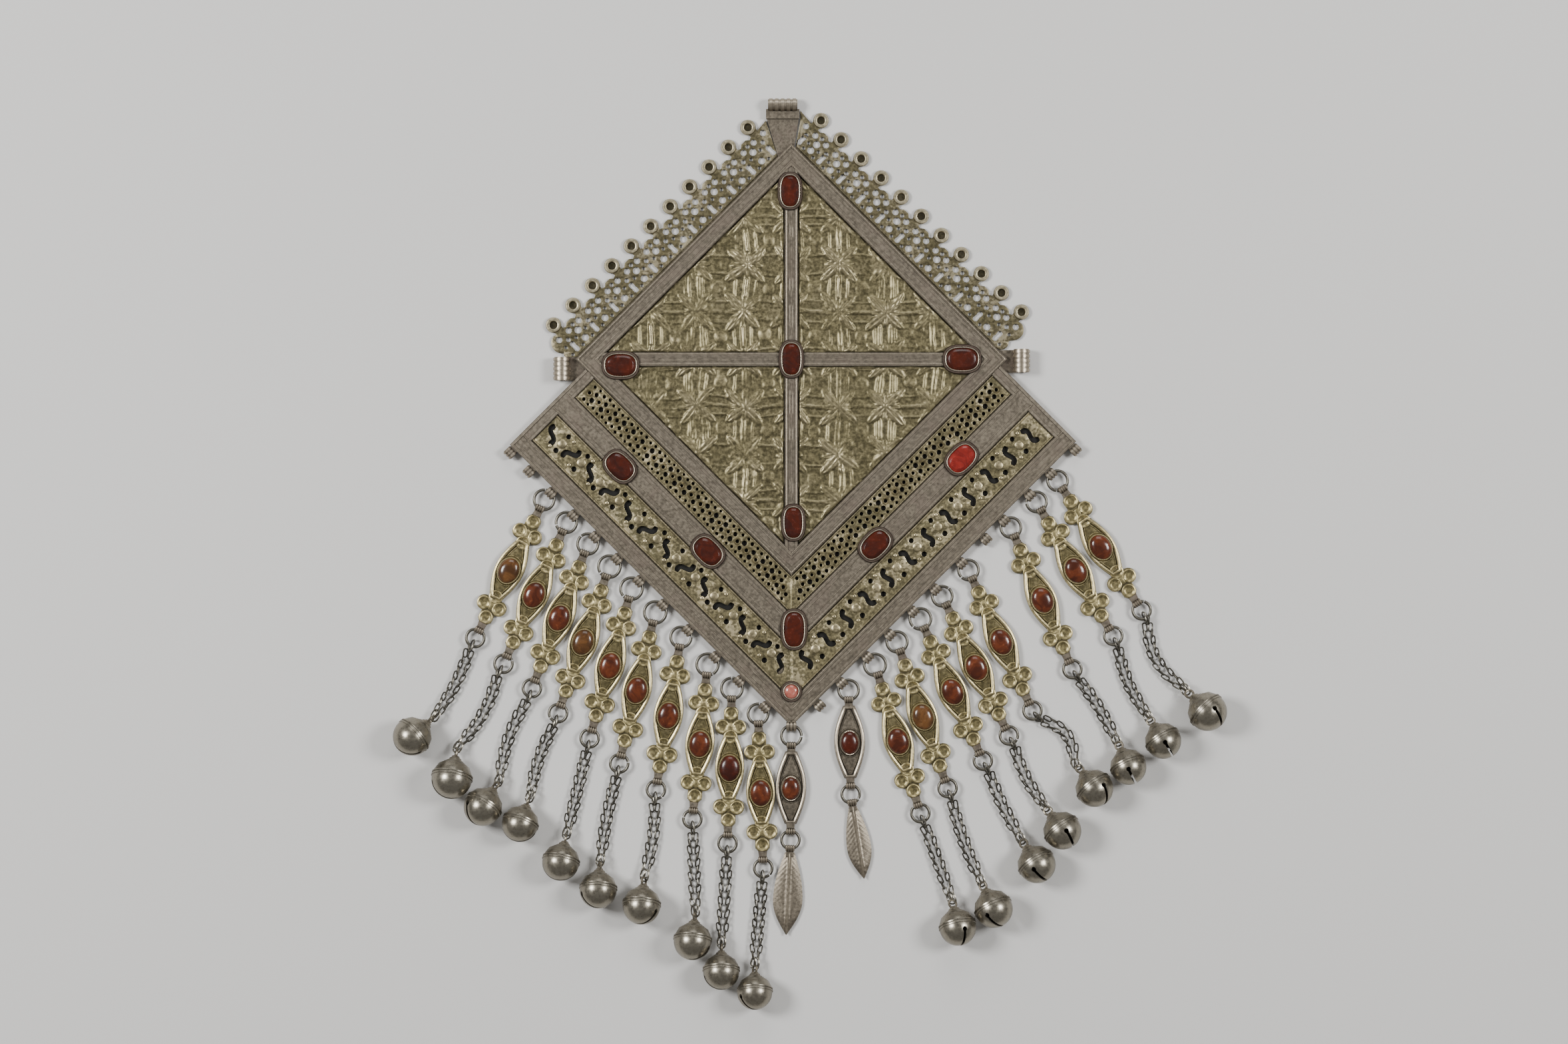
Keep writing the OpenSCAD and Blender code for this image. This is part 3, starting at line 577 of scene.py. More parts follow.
def made_finish(name):
    """Mixes one finish from the colours that the user has set."""
    c = bpy.context.scene.ornament_colours
    silver, dark, gilt, worn, boss = (
        tuple(v) for v in (c.silver, c.dark_silver, c.gilt, c.worn_gilt, c.pendant_gilt))
    warm, tan, drab = (1.0, 1.0, 1.12), (0.95, 0.96, 0.95), (0.9, 0.95, 0.9)
    metals = {
        "silver": ((tone(silver, 0.62), silver, tone(silver, 1.75), tone(silver, 0.8, (1.0, 0.93, 0.98))),
                   dict(rub_and_light_heights=(2.4, 3.3), rough=0.45)),
        "dark_silver": ((tone(dark, 0.6), dark, tone(dark, 1.9), tone(dark, 0.7)),
                        dict(rub_and_light_heights=(1.6, 2.9), share=0.52, rough=0.4)),
        # Bell silver grows bright from 4 to 17 mm up, across most of a bell's height: painted light on the
        # upper side of each bell
        "bell_silver": ((tone(dark, 1.35, (1.03, 0.97, 0.9)), tone(dark, 2.0, (1.03, 0.98, 0.92)),
                         tone(dark, 2.8), tone(dark, 1.45)),
                        dict(rub_and_light_heights=(4, 17), share=0.52, rough=0.36, grain=0.05, blotch=0.3)),
        "gilt": ((tone(gilt, 0.5), gilt, tone(gilt, 1.45, warm), tone(gilt, 0.7, tan)),
                 dict(rub_and_light_heights=(1.55, 2.35), shade_and_pit_colour=(0.03, 0.025, 0.013), grain=0.15, streak=0.3,
                      low_shade=(1.3, 1.7, 0.3))),
        "worn_gilt": ((tone(worn, 0.36), worn, tone(worn, 2.1, (1.0, 1.0, 1.15)), tone(worn, 0.5, drab)),
                      dict(rub_and_light_heights=(1.75, 2.6), rough=0.4, shade_and_pit_colour=(0.03, 0.024, 0.013), grain=0.25,
                           streak=0.75, blotch=0.75)),
        "crest_gilt": ((tone(worn, 0.28), tone(worn, 0.58), tone(worn, 2.1, (1.0, 1.03, 1.3)),
                        tone(worn, 0.4, (1.0, 0.95, 0.9))),
                       dict(rub_and_light_heights=(0.7, 1.3), rough=0.45, shade_and_pit_colour=(0.02, 0.017, 0.012), grain=0.2,
                            streak=0.3, low_shade=(0.45, 0.72, 0.85))),
        "pendant_gilt": ((tone(boss, 0.5), boss, tone(boss, 1.45, warm),
                          tone(boss, 0.62, (0.95, 0.95, 0.95))),
                         dict(rub_and_light_heights=(1.35, 2.7), rough=0.4, shade_and_pit_colour=(0.025, 0.02, 0.01), grain=0.14,
                              streak=0.4, low_shade=(1.02, 1.34, 0.6))),
        # Near-black sheet below the pierced bands: painted shade seen through the piercings
        "painted_shade_black": ((tone(dark, 0.06), tone(dark, 0.1), tone(dark, 0.14), tone(dark, 0.08)),
                      dict(rub_and_light_heights=(0.3, 3.4), rough=0.8, metallic=0.2)),
        # Near-black rings round the settings: painted shade of the recess outside each bezel, lighter on top
        "groove_shade": (((0.03, 0.014, 0.01), (0.06, 0.03, 0.022), tone(silver, 0.6), (0.04, 0.018, 0.012)),
                   dict(rub_and_light_heights=(3.2, 4.2), rough=0.6, metallic=0.6)),
        "pendant_silver": ((tone(silver, 0.55), silver, tone(silver, 1.6), tone(silver, 0.7)),
                           dict(rub_and_light_heights=(1.2, 2.6))),
    }
    gems = {
        "carnelian": ((0.035, 0.006, 0.003), tuple(c.carnelian), (0.13, 0.02, 0.009), 0.25, 0.1),
        "bright_carnelian": ((0.13, 0.008, 0.006), (0.27, 0.02, 0.014), (0.34, 0.04, 0.025), 0.25, 0.15),
        "pale_carnelian": ((0.3, 0.07, 0.05), (0.5, 0.16, 0.12), (0.7, 0.4, 0.33)),
        "cabochon": ((0.055, 0.012, 0.005), tuple(c.cabochon), (0.24, 0.07, 0.025), 0.2, 0.12),
        "brown_cabochon": ((0.06, 0.025, 0.008), (0.14, 0.06, 0.018), (0.2, 0.1, 0.04), 0.2, 0.15),
    }
    if name in metals:
        colours, rest = metals[name]
        return metal(name, colours, **rest)
    if name in gems:
        return gem(name, *gems[name])
    return plain_floor(name, tuple(c.floor))


FINISHES = {}


def finish(name):
    """Each finish is mixed once and shared by the pieces that have it."""
    if name not in FINISHES:
        FINISHES[name] = made_finish(name)
    return FINISHES[name]


# Sizes and colours

def length_prop(name, description, default, low, high):
    return bpy.props.FloatProperty(name=name, description=description + " in millimetres", default=default,
                                   min=low, max=high)


def colour_prop(name, description, default):
    return bpy.props.FloatVectorProperty(name=name, description=description, subtype="COLOR", size=3,
                                         min=0.0, max=1.0, default=default)


class OrnamentSizes(bpy.types.PropertyGroup):
    """Sizes of the fine work, in millimetres."""
    relief: length_prop("Stamped relief", "Height of the stamped pattern", 0.85, 0.2, 1.0)
    panel_grid: length_prop("Panel grid", "Mesh size of the stamped sheets", 0.36, 0.25, 1.0)
    bead_wire: length_prop("Beaded wire", "Radius of the beaded edge wires", 0.42, 0.2, 0.6)
    bead_pitch: length_prop("Bead pitch", "Distance from bead to bead", 1.2, 0.8, 2.0)
    chain_pitch: length_prop("Chain pitch", "Distance from link to link", 2.3, 1.6, 3.0)
    chain_wire: length_prop("Chain wire", "Radius of a link's wire", 0.29, 0.2, 0.45)
    bell_steps: bpy.props.IntProperty(name="Bell steps", description="Facets round a bell", default=40,
                                      min=16, max=64)


class OrnamentColours(bpy.types.PropertyGroup):
    """Colours of the metals, the stones and the stage."""
    silver: colour_prop("Silver", "Worn silver of the bars and the rim", (0.27, 0.232, 0.178))
    dark_silver: colour_prop("Dark silver", "Rings, chains and bells", (0.125, 0.116, 0.095))
    gilt: colour_prop("Gilt", "Stamped sheets of the field", (0.29, 0.25, 0.135))
    worn_gilt: colour_prop("Worn gilt", "Pierced bands and crests", (0.32, 0.275, 0.15))
    pendant_gilt: colour_prop("Pendant gilt", "Plates of the pendants", (0.47, 0.395, 0.195))
    carnelian: colour_prop("Carnelian", "Table-cut stones", (0.07, 0.009, 0.002))
    cabochon: colour_prop("Cabochon", "Domed stones of the pendants", (0.13, 0.03, 0.01))
    floor: colour_prop("Floor", "Plain pale floor", (0.72, 0.71, 0.69))


# Silver frame and settings

PLAIN_STEP = 4.0
BEAD_Z, FINE_Z, PLAIN_Z = 2.95, 2.98, 2.62
BEZEL_Z, BEZEL_R, BEZEL_PITCH = 3.7, 0.32, 0.6
# Height and radius of the near-black wire rings round the settings, which paint the shade of the recess
# outside each bezel
GROOVE_SHADE_Z, GROOVE_SHADE_R = 3.2, 0.55
STONE_Z = 1.8
BRIGHT_STONE = 9


def runs_outside_settings(points, grow):
    """Splits a path where it passes under a stone's setting, and drops stretches of three points or fewer."""
    runs = [[]]
    for p in points:
        if in_setting(p[0], p[1], grow):
            runs.append([])
        else:
            runs[-1].append(p)
    return [run for run in runs if len(run) > 3]


def stepped(corners, pitch, z):
    """Points along straight runs, half a pitch apart, in the ornament's axes."""
    points = []
    for (x0, y0), (x1, y1) in zip(corners, corners[1:]):
        n = max(2, int(round(math.hypot(x1 - x0, y1 - y0) / (pitch / 2))))
        points += [(x0 + (x1 - x0) * (k / n), y0 + (y1 - y0) * (k / n), z) for k in range(n)]
    return points + [(*corners[-1], z)]


def square_loop(half):
    corners = ((-1, -1), (1, -1), (1, 1), (-1, 1), (-1, -1))
    return [to_world(half * x, half * y) for x, y in corners]


def v_line(v, short):
    """A line at one distance from the centre, from near one arm's end to near the other's."""
    left, right = (end - short for _, _, end in ARMS)
    return [to_world(-left, -v), to_world(v, -v), to_world(v, right)]


class ORNAMENT_OT_frame(bpy.types.Operator):
    """Finishes the soldered silver frame and lays its beaded and plain wires"""
    bl_idname = "ornament.frame"
    bl_label = "Silver frame"

    def execute(self, context):
        for slot in NODES["frame"].material_slots:
            slot.material = finish("silver")
        s = context.scene.ornament_sizes
        # Radius, height and notch of the wires
        beaded, fine = (s.bead_wire, BEAD_Z, 0.45), (s.bead_wire * 0.5, FINE_Z, 0.3)
        plain = (s.bead_wire * 0.4, PLAIN_Z, 0.0)
        lines = [(square_loop(FIELD_HALF - 0.65), beaded), (square_loop(FIELD_IN + 0.6), fine),
                 (square_loop(FIELD_HALF - 2.3), plain), (square_loop(FIELD_HALF - 4.2), plain)]
        for v, short, wire in ((STRIP_V0 + 0.6, 2, fine), (STRIP_V1 - 0.6, 2, fine),
                               (STRIP_V0 + 2.6, 3, plain), (STRIP_V1 - 2.6, 3, plain),
                               (RIM_V0 + 0.6, 1, fine), (RIM_V1 - 0.75, 1, fine),
                               (RIM_V0 + 2.4, 1, plain), (RIM_V1 - 2.6, 1, plain)):
            lines.append((v_line(v, short), wire))
        for off, wire in ((-1.85, fine), (1.85, fine), (-0.55, plain), (0.55, plain)):
            lines.append(([(off, -BAR_END), (off, BAR_END)], wire))
            lines.append(([(-BAR_END, off), (BAR_END, off)], wire))
        wires = []
        for corners, (radius, z, notch) in lines:
            points = stepped(corners, s.bead_pitch if notch else PLAIN_STEP, z)
            points = [p for p in points if p[1] > BASE_TIP_Y + 0.6]
            wires += [drawn_wire(run, radius, notch=notch) for run in runs_outside_settings(points, 1.45)]
        finish_piece(wires, "edge_wires", [], "silver", 60)
        return {"FINISHED"}


class ORNAMENT_OT_settings(bpy.types.Operator):
    """Sets a serrated bezel round every stone of the plate, and outside it a near-black wire ring that paints
    the shade of a recess
    """
    bl_idname = "ornament.settings"
    bl_label = "Stone settings"

    def execute(self, context):
        bezels, groove_shades = [], []
        for stone in STONES + [ROUND_STONE]:
            n = 2 * int(round(math.pi * (stone[2] + stone[3]) / 4 / BEZEL_PITCH))
            bezel, groove_shade = stone_outline(stone, 0.35, 2 * n), stone_outline(stone, 1.6, n)
            bezels.append(drawn_wire(raised(bezel, BEZEL_Z), BEZEL_R, True, notch=0.3))
            groove_shades.append(drawn_wire(raised(groove_shade, GROOVE_SHADE_Z), GROOVE_SHADE_R, True))
        finish_piece(bezels, "stone_settings", [], "silver", 60)
        finish_piece(groove_shades, "setting_groove_shades", [], "groove_shade", 60)
        return {"FINISHED"}


class ORNAMENT_OT_plate_stones(bpy.types.Operator):
    """Cuts the ten table-cut stones and the small round one"""
    bl_idname = "ornament.plate_stones"
    bl_label = "Plate stones"

    def execute(self, context):
        for i, (x, y, length, width, angle) in enumerate(STONES):
            a, b = 1 - 1.0 / length, 1 - 1.0 / width
            cuts = [(1.6, 1, 1), (0.35, a, b), (0.4, a, b * 0.97), (0.1, 0.96, 0.94), (0.03, 0.75, 0.7)]
            stone = extruded_outline(oval(length, width, stone_power(length, width), 40), STONE_Z, cuts)
            moved(stone, shift(x, y) @ rotation(angle))
            kind = "bright_carnelian" if i == BRIGHT_STONE else "carnelian"
            finish_piece([stone], "plate_stone_%d" % (i + 1), ["stone_%d" % (i + 1)], kind, 25)
        stone = turned([(ON_AXIS, STONE_Z), (2.7, STONE_Z), (2.7, 3.1), (2.55, 3.6), (2.1, 4.0), (1.3, 4.3),
                        (ON_AXIS, 4.4)], 32)
        moved(stone, shift(*ROUND_STONE[:2]))
        finish_piece([stone], "plate_stone_11", ["stone_11"], "pale_carnelian", 60)
        return {"FINISHED"}


# Stamped sheets

STAMP_PITCH = 17.75
STAMP_SQUARE = 5.3
SHEET_Z, SHEET_BACK_Z = 1.42, 1.12


def dome(distance, half):
    """Round-topped ridge across a distance, of one half width."""
    return np.sqrt(np.clip(1 - (distance / half) ** 2, 0, 1))


def hand_marks(x, y, seed, low, high, count=28):
    """Soft unevenness of hand work: waves of several lengths and ways."""
    rng = np.random.default_rng(seed)
    out = np.zeros_like(x)
    for _ in range(count):
        a, wave, phase = rng.uniform(0, 6.283), rng.uniform(low, high), rng.uniform(0, 6.283)
        out += np.sin((x * math.cos(a) + y * math.sin(a)) * 6.283 / wave + phase)
    return out / math.sqrt(count)


def stamped_height(x, y, seed, rib_share):
    """Height of the stamped pattern, 0 to 1: ribs, stars on their crossings, squares and bosses between."""
    x = x + 0.7 * hand_marks(x, y, seed, 18, 50, 8)
    y = y + 0.7 * hand_marks(x, y, seed + 1, 18, 50, 8)
    column, row = np.round(x / STAMP_PITCH), np.round(y / STAMP_PITCH)
    dx, dy = x - STAMP_PITCH * column, y - STAMP_PITCH * row
    r, angle = np.hypot(dx, dy), np.arctan2(dy, dx)
    upright = np.where(column % 2 > 0, dome(dx, 0.85) * 0.95, dome(np.abs(dx) - 1.8, 0.65) * 0.6) * rib_share
    level = np.where(row % 2 > 0, dome(dy, 0.7) * 0.5, 0.0)
    height = np.maximum(upright, level) * np.clip((r - 4.4) / 1.2, 0, 1)
    for turn, length, half, top in ((0.785, 9.2, 1.9, 1.0), (0.0, 5.6, 1.15, 0.85)):
        folded = (angle - turn + math.pi / 4) % (math.pi / 2) - math.pi / 4
        along, across = r * np.cos(folded), r * np.sin(folded)
        share = np.clip(along / length, 0, 1)
        width = half * np.sin(np.pi * np.clip(share * 0.9 + 0.08, 0, 1)) ** 0.7 + 0.01
        leaf = dome(across, width) * (along < length) * top * (1 - 0.3 * share)
        leaf = leaf - (leaf > 0) * 0.5 * top * np.exp(-(across / 0.26) ** 2)
        height = np.maximum(height, leaf)
    height = np.maximum(height, dome(r, 1.2) * 0.9)
    cx, cy = (np.abs(p - STAMP_PITCH * (np.floor(p / STAMP_PITCH) + 0.5)) for p in (x, y))
    square = dome(np.maximum(cx, cy) - STAMP_SQUARE, 0.42) * 0.42 * (np.minimum(cx, cy) < STAMP_SQUARE - 1.9)
    height = np.maximum(height, np.maximum(square, dome(np.hypot(cx, cy), 2.4) * 0.4))
    return height * np.clip(0.82 + 0.4 * hand_marks(x, y, seed + 2, 10, 36, 10), 0.25, 1.1)


def sheet_blank(sx, sy, near, far, grid):
    """A fine grid over a quarter of the field, cut to its triangle and clear of the settings."""
    start()
    n, middle = int((far - near) / grid), (near + far) / 2 * MM
    bpy.ops.mesh.primitive_grid_add(x_subdivisions=n, y_subdivisions=n, size=(far - near) * MM,
                                    location=(sx * middle, sy * middle, 0))
    sheet = apply_place(bpy.context.object)
    edit_all(sheet)
    bpy.ops.mesh.bisect(plane_co=(sx * (near + far) * MM, 0, 0), plane_no=(sx, sy, 0), clear_outer=True,
                        threshold=1e-7)
    bpy.ops.mesh.select_all(action="DESELECT")
    mode("OBJECT")
    hidden = [in_setting(p.center.x / MM, p.center.y / MM, 0.6) for p in sheet.data.polygons]
    sheet.data.polygons.foreach_set("select", hidden)
    mode("EDIT")
    bpy.ops.mesh.delete(type="FACE")
    mode("OBJECT")
    return sheet


def back_sheet(sheet):
    """Turns a sheet's edges down and closes its back."""
    count = len(sheet.data.vertices)
    mode("EDIT")
    bpy.ops.mesh.select_all(action="DESELECT")
    bpy.ops.mesh.select_non_manifold(extend=False)
    bpy.ops.mesh.extrude_region_move(TRANSFORM_OT_translate={"value": (0, 0, -0.2 * MM)})
    mode("OBJECT")
    places = vertex_places(sheet)
    places[count:, 2] = SHEET_BACK_Z * MM
    set_vertex_places(sheet, places)
    mode("EDIT")
    bpy.ops.mesh.edge_face_add()
    mode("OBJECT")
    return tidy_mesh(sheet, 0.0005)


class ORNAMENT_OT_panels(bpy.types.Operator):
    """Stamps the four gilt sheets of the field"""
    bl_idname = "ornament.panels"
    bl_label = "Stamped sheets"

    def execute(self, context):
        s = context.scene.ornament_sizes
        near = BAR_HALF + GAP
        far = math.sqrt(2) * (FIELD_IN - GAP) - near
        for k, (sx, sy, name) in enumerate(((-1, 1, "top_left"), (1, 1, "top_right"),
                                            (-1, -1, "bottom_left"), (1, -1, "bottom_right"))):
            sheet = sheet_blank(sx, sy, near, far, s.panel_grid)
            places = vertex_places(sheet)
            x, y = places[:, 0] / MM, places[:, 1] / MM
            lift = stamped_height(x, y, 10 + k, 1 if sy > 0 else 0.55) * s.relief
            lift += 0.09 * hand_marks(x, y, 30 + k, 2.2, 9)
            edge = np.minimum.reduce([np.abs(x) - near, np.abs(y) - near,
                                      (near + far - np.abs(x) - np.abs(y)) / 1.414])
            lift *= np.clip(edge / 0.8, 0, 1)
            places[:, 2] = (SHEET_Z + np.clip(lift, -0.2, 0.95)) * MM
            set_vertex_places(sheet, places)
            finish_piece([back_sheet(sheet)], "stamped_sheet_" + name, ["panel_" + name], "gilt", 80)
        return {"FINISHED"}


# Pierced bands

BAND_Z0, BAND_Z1 = 1.15, 1.95
# Heights of the near-black sheet below the pierced bands, which paints the shade seen through their piercings
SHADE_SHEET_Z0, SHADE_SHEET_Z1 = 0.25, 0.55
LACE_START, LACE_PITCH = 2.6, 2.45
# Rows of lace holes in turn, each hole with its distance from the centre and its radius
LACE_ROWS = (((59.5, 0.68), (62.5, 0.72), (65.5, 0.68)),
             ((59.0, 0.62), (61.2, 0.95), (63.8, 0.95), (66.0, 0.62)))
EYELET_V = 62.5
SCROLL_V, SCROLL_LEAN = 83.5, 26
# Between two scrolls, the holes' distances and radii, and the raised drops' shifts, distances and radii
SCROLL_HOLES = ((79.8, 0.95), (86.8, 1.05))
SCROLL_DROPS = ((0, 83.2, 1.9), (-2.7, 87.0, 0.9), (2.7, 79.6, 0.9))
# For each side, the first scroll's place, the pitch and the count
SCROLLS = {-1: (-43.4, 10.09, 13), 1: (-75.75, 10.8, 12)}


def arm_map(side):
    """From (place along an arm, distance from the centre) to the ornament's axes."""
    if side < 0:
        return lambda u, v: to_world(u, -v)
    return lambda u, v: to_world(v, u)


def band_outline(side, v0, v1, end):
    """One arm of a band, from its square end to the mitre at the tip of the V."""
    place = arm_map(side)
    if side < 0:
        return [place(-end, v1), place(v1 - GAP, v1), place(v0 - GAP, v0), place(-end, v0)]
    return [place(-v1 + GAP, v1), place(end, v1), place(end, v0), place(-v0 + GAP, v0)]


def pierced_band(side, v0, v1, end, loops, clear, bevel, edge, wire):
    """A gilt band with its piercings, cut clear of the settings, and the notched wires along its edges."""
    loops = [loop for loop in loops if not any(in_setting(x, y, clear) for x, y in loop)]
    sheet = cut_sheet([band_outline(side, v0, v1, end)] + loops, BAND_Z0, BAND_Z1, bevel)
    notches = [extruded_outline(stone_outline(stone, 2.6, 28), 0.9, [(2.4, 1, 1)])
               for stone in STONES + [ROUND_STONE]]
    parts = [combined(sheet, notches, "DIFFERENCE")]
    place = arm_map(side)
    for v in (v0 + edge, v1 - edge):
        corners = [place(-end, v), place(v, v)] if side < 0 else [place(-v, v), place(end, v)]
        runs = runs_outside_settings(stepped(corners, 1.3, 2.0), 1.5)
        parts += [drawn_wire(run, wire, notch=0.3) for run in runs]
    return parts


def s_loop(place, u, v, lean, flip):
    """An S-shaped piercing with swollen ends, leaning to one side."""
    steps = [-1 + k / 6 for k in range(13)]
    spine = [(1.2 * math.sin(math.pi * t) * flip, 3.65 * t) for t in steps]
    points = []
    for way, order in ((1, range(13)), (-1, range(12, -1, -1))):
        for k in order:
            t = steps[k]
            half = (0.88 + 0.4 * t * t) * (1 - 0.45 * abs(t) ** 9) * way
            (ax, ay), (bx, by) = spine[max(0, k - 1)], spine[min(12, k + 1)]
            length = math.hypot(bx - ax, by - ay)
            points.append((spine[k][0] + (by - ay) / length * half, spine[k][1] - (bx - ax) / length * half))
    return [place(*p) for p in placed(points, u, v, lean)]


class ORNAMENT_OT_shade_sheet(bpy.types.Operator):
    """Lays a thin near-black sheet in the base below the pierced bands: painted shade seen through their
    piercings
    """
    bl_idname = "ornament.lining"
    bl_label = "Dark shade_sheet"

    def execute(self, context):
        inner, outer = STRIP_V1 + LEDGE + GAP, RIM_V0 - LEDGE - GAP
        for side, name, end in ARMS:
            place, end = arm_map(side), end - ARM_END_W - 0.5 - GAP
            far = (CORNER_TAB - GAP) * -side
            lace = band_outline(side, FIELD_HALF + LEDGE + GAP, STRIP_V0 - LEDGE - GAP, end)
            ends = ((side * end, outer), (side * end, inner), (far, inner), (far, outer))
            scroll = [place(u, v) for u, v in ends]
            shade_sheets = [cut_sheet([outline], SHADE_SHEET_Z0, SHADE_SHEET_Z1, 0.05) for outline in (lace, scroll)]
            finish_piece(shade_sheets, "painted_shade_sheet_" + name, [], "painted_shade_black")
        return {"FINISHED"}


class ORNAMENT_OT_lace(bpy.types.Operator):
    """Pierces the two fine lace bands below the field"""
    bl_idname = "ornament.lace"
    bl_label = "Lace bands"

    def execute(self, context):
        eyelet = drawn_wire(raised(arc(0, 0, 1.15, 0, 360, 30), 0), 0.3, True, 0)
        v0, v1 = FIELD_HALF + GAP, STRIP_V0 - GAP
        for side, name, end in ARMS:
            place, end = arm_map(side), end - ARM_END_W - GAP
            loops, eyelets = [], []
            rng = random.Random(5 + side)
            for k in range(int((end + STRIP_V0 - LACE_START) / LACE_PITCH) + 1):
                run = LACE_START + k * LACE_PITCH
                for v, r in LACE_ROWS[k % 2]:
                    if run > end + v - 1.8 - r:
                        continue
                    x, y = place(side * (end - run) + rng.uniform(-0.1, 0.1), v + rng.uniform(-0.1, 0.1))
                    loops.append(hole(x, y, r * rng.uniform(0.85, 1.1), 8))
                    if v == EYELET_V and not in_setting(x, y, 3.0):
                        eyelets.append(copy_of(eyelet, shift(x, y, BAND_Z1)))
            band = pierced_band(side, v0, v1, end, loops, 1.8, 0.12, 0.5, 0.42)
            finish_piece(band + eyelets, "lace_band_" + name, ["lace_" + name], "worn_gilt")
        discard(eyelet)
        return {"FINISHED"}


class ORNAMENT_OT_scroll(bpy.types.Operator):
    """Pierces the two bands of S scrolls"""
    bl_idname = "ornament.scroll"
    bl_label = "Scroll bands"

    def execute(self, context):
        drop = turned([(1.0, 0.0), (0.93, 0.16), (0.72, 0.3), (0.4, 0.4), (ON_AXIS, 0.43)], 12)
        v0, v1 = STRIP_V1 + GAP, RIM_V0 - GAP
        for side, name, end in ARMS:
            place, end = arm_map(side), end - ARM_END_W - GAP
            first, pitch, count = SCROLLS[side]
            loops, drops = [], []
            rng = random.Random(8 + side)
            for k in range(count):
                u, flip = first + k * pitch, 1 if k % 2 == 0 else -1
                loops.append(s_loop(place, u, SCROLL_V, SCROLL_LEAN * flip * side, flip))
                if k == count - 1:
                    continue
                for v, r in SCROLL_HOLES:
                    x, y = place(u + pitch / 2 + rng.uniform(-0.3, 0.3), v + rng.uniform(-0.2, 0.2))
                    loops.append(hole(x, y, r, 9))
                for du, v, r in SCROLL_DROPS:
                    x, y = place(u + pitch / 2 + du, v)
                    if not in_setting(x, y, 3.4):
                        drops.append(copy_of(drop, shift(x, y, 1.9) @ Matrix.Diagonal((r, r, 1, 1))))
            band = pierced_band(side, v0, v1, end, loops, 1.6, 0.15, 0.6, 0.5)
            finish_piece(band + drops, "scroll_band_" + name, ["scroll_" + name], "worn_gilt")
        discard(drop)
        return {"FINISHED"}


# Crests

FINIALS, FINIAL_PITCH = 11, 10.4
FINIAL_RISE, FINIAL_R = 3, 2.9
CREST_RUN = (FINIALS - 1) * FINIAL_PITCH
CREST_END = CREST_RUN + 2.6
CREST_T = 0.8
# Side, name, first finial's place, height at the first and the last, the line that the foot is cut to,
# and the outline beside the stem
CRESTS = ((-1, "left", -50, 12.8, 12.0, 0.9, [(-50.1, GAP), (-56.6, 12.9)]),
          (1, "right", -55.5, 11.0, 13.4, 3.65, [(-55.0, GAP), (-61.2, 8.9), (-63.8, 11.2)]))


def crest_outline(first, heights, stem):
    """The crest's outline with its finials, along the field's edge."""
    end = first + CREST_END
    outline = [stem[0], (end, GAP), *arc(end, 3, 2.85, -80, 55, 12),
               *arc(end, heights[-2] - 3.9, 3.9, -50, 91, 12)]
    for k in range(FINIALS - 1, -1, -1):
        s, w = first + k * FINIAL_PITCH, heights[k + 1]
        outline += [(s + 1.7, w - 0.3), *arc(s, w + FINIAL_RISE, FINIAL_R, -50, 231, 20), (s - 1.7, w - 0.3)]
        if k:
            outline += [(s - 2.9, w - 0.7), (s - 4.1, w + 0.3), (s - 6.3, w + 0.3), (s - 7.5, w - 0.7)]
    return outline + stem[:0:-1]


def dumbbell(s, v):
    """A piercing with a waist and two round ends."""
    points = []
    for j in range(20):
        a = 2 * math.pi * j / 20
        half = (0.8 + 0.5 * abs(math.sin(a))) * math.copysign(abs(math.cos(a)) ** 0.6, math.cos(a))
        points.append((s + half, v + 2.2 * math.sin(a)))
    return points


def crest_holes(first, heights, stem):
    """The crest's piercings that fit between the stem and its far end."""
    end = first + CREST_END
    finials, holes = [], []
    for k in range(-1, FINIALS + 1):
        s, w = first + k * FINIAL_PITCH, heights[k + 1]
        if -1 < k < FINIALS:
            finials.append(hole(s, w + FINIAL_RISE, 2.0, 16))
            holes.append(dumbbell(s, 3.7))
            holes += [hole(s + side * 2.5, w - 2.5, 1.2, 9) for side in (-1, 1)]
            holes += [hole(s + side * 2.7, v, 0.68, 8) for side in (-1, 1) for v in (2.0, w - 6.3)]
            holes.append(hole(s, w - 4.9, 0.9, 8))
        if k > -1:
            middle = s - FINIAL_PITCH / 2
            holes += [hole(middle, 3.3, 1.35), hole(middle, w - 4.8, 1.4), hole(middle, w - 1.9, 0.8, 8)]

    def inside(loop):
        low, high = min(p[0] for p in loop), max(p[0] for p in loop)
        w = sum(p[1] for p in loop) / len(loop)
        edge = stem[-1][0]
        for (s0, w0), (s1, w1) in zip(stem, stem[1:]):
            if w0 <= w <= w1:
                edge = s0 + (s1 - s0) * (w - w0) / (w1 - w0)
                break
        return low > edge + 0.9 and high < end + 2.2
    return finials + [loop for loop in holes if inside(loop)]


def crest_map(side):
    """From (place along the field's edge, height over it) to the ornament's axes."""
    if side < 0:
        return lambda s, w: to_world(-FIELD_HALF - w, -s)
    return lambda s, w: to_world(s, FIELD_HALF + w)


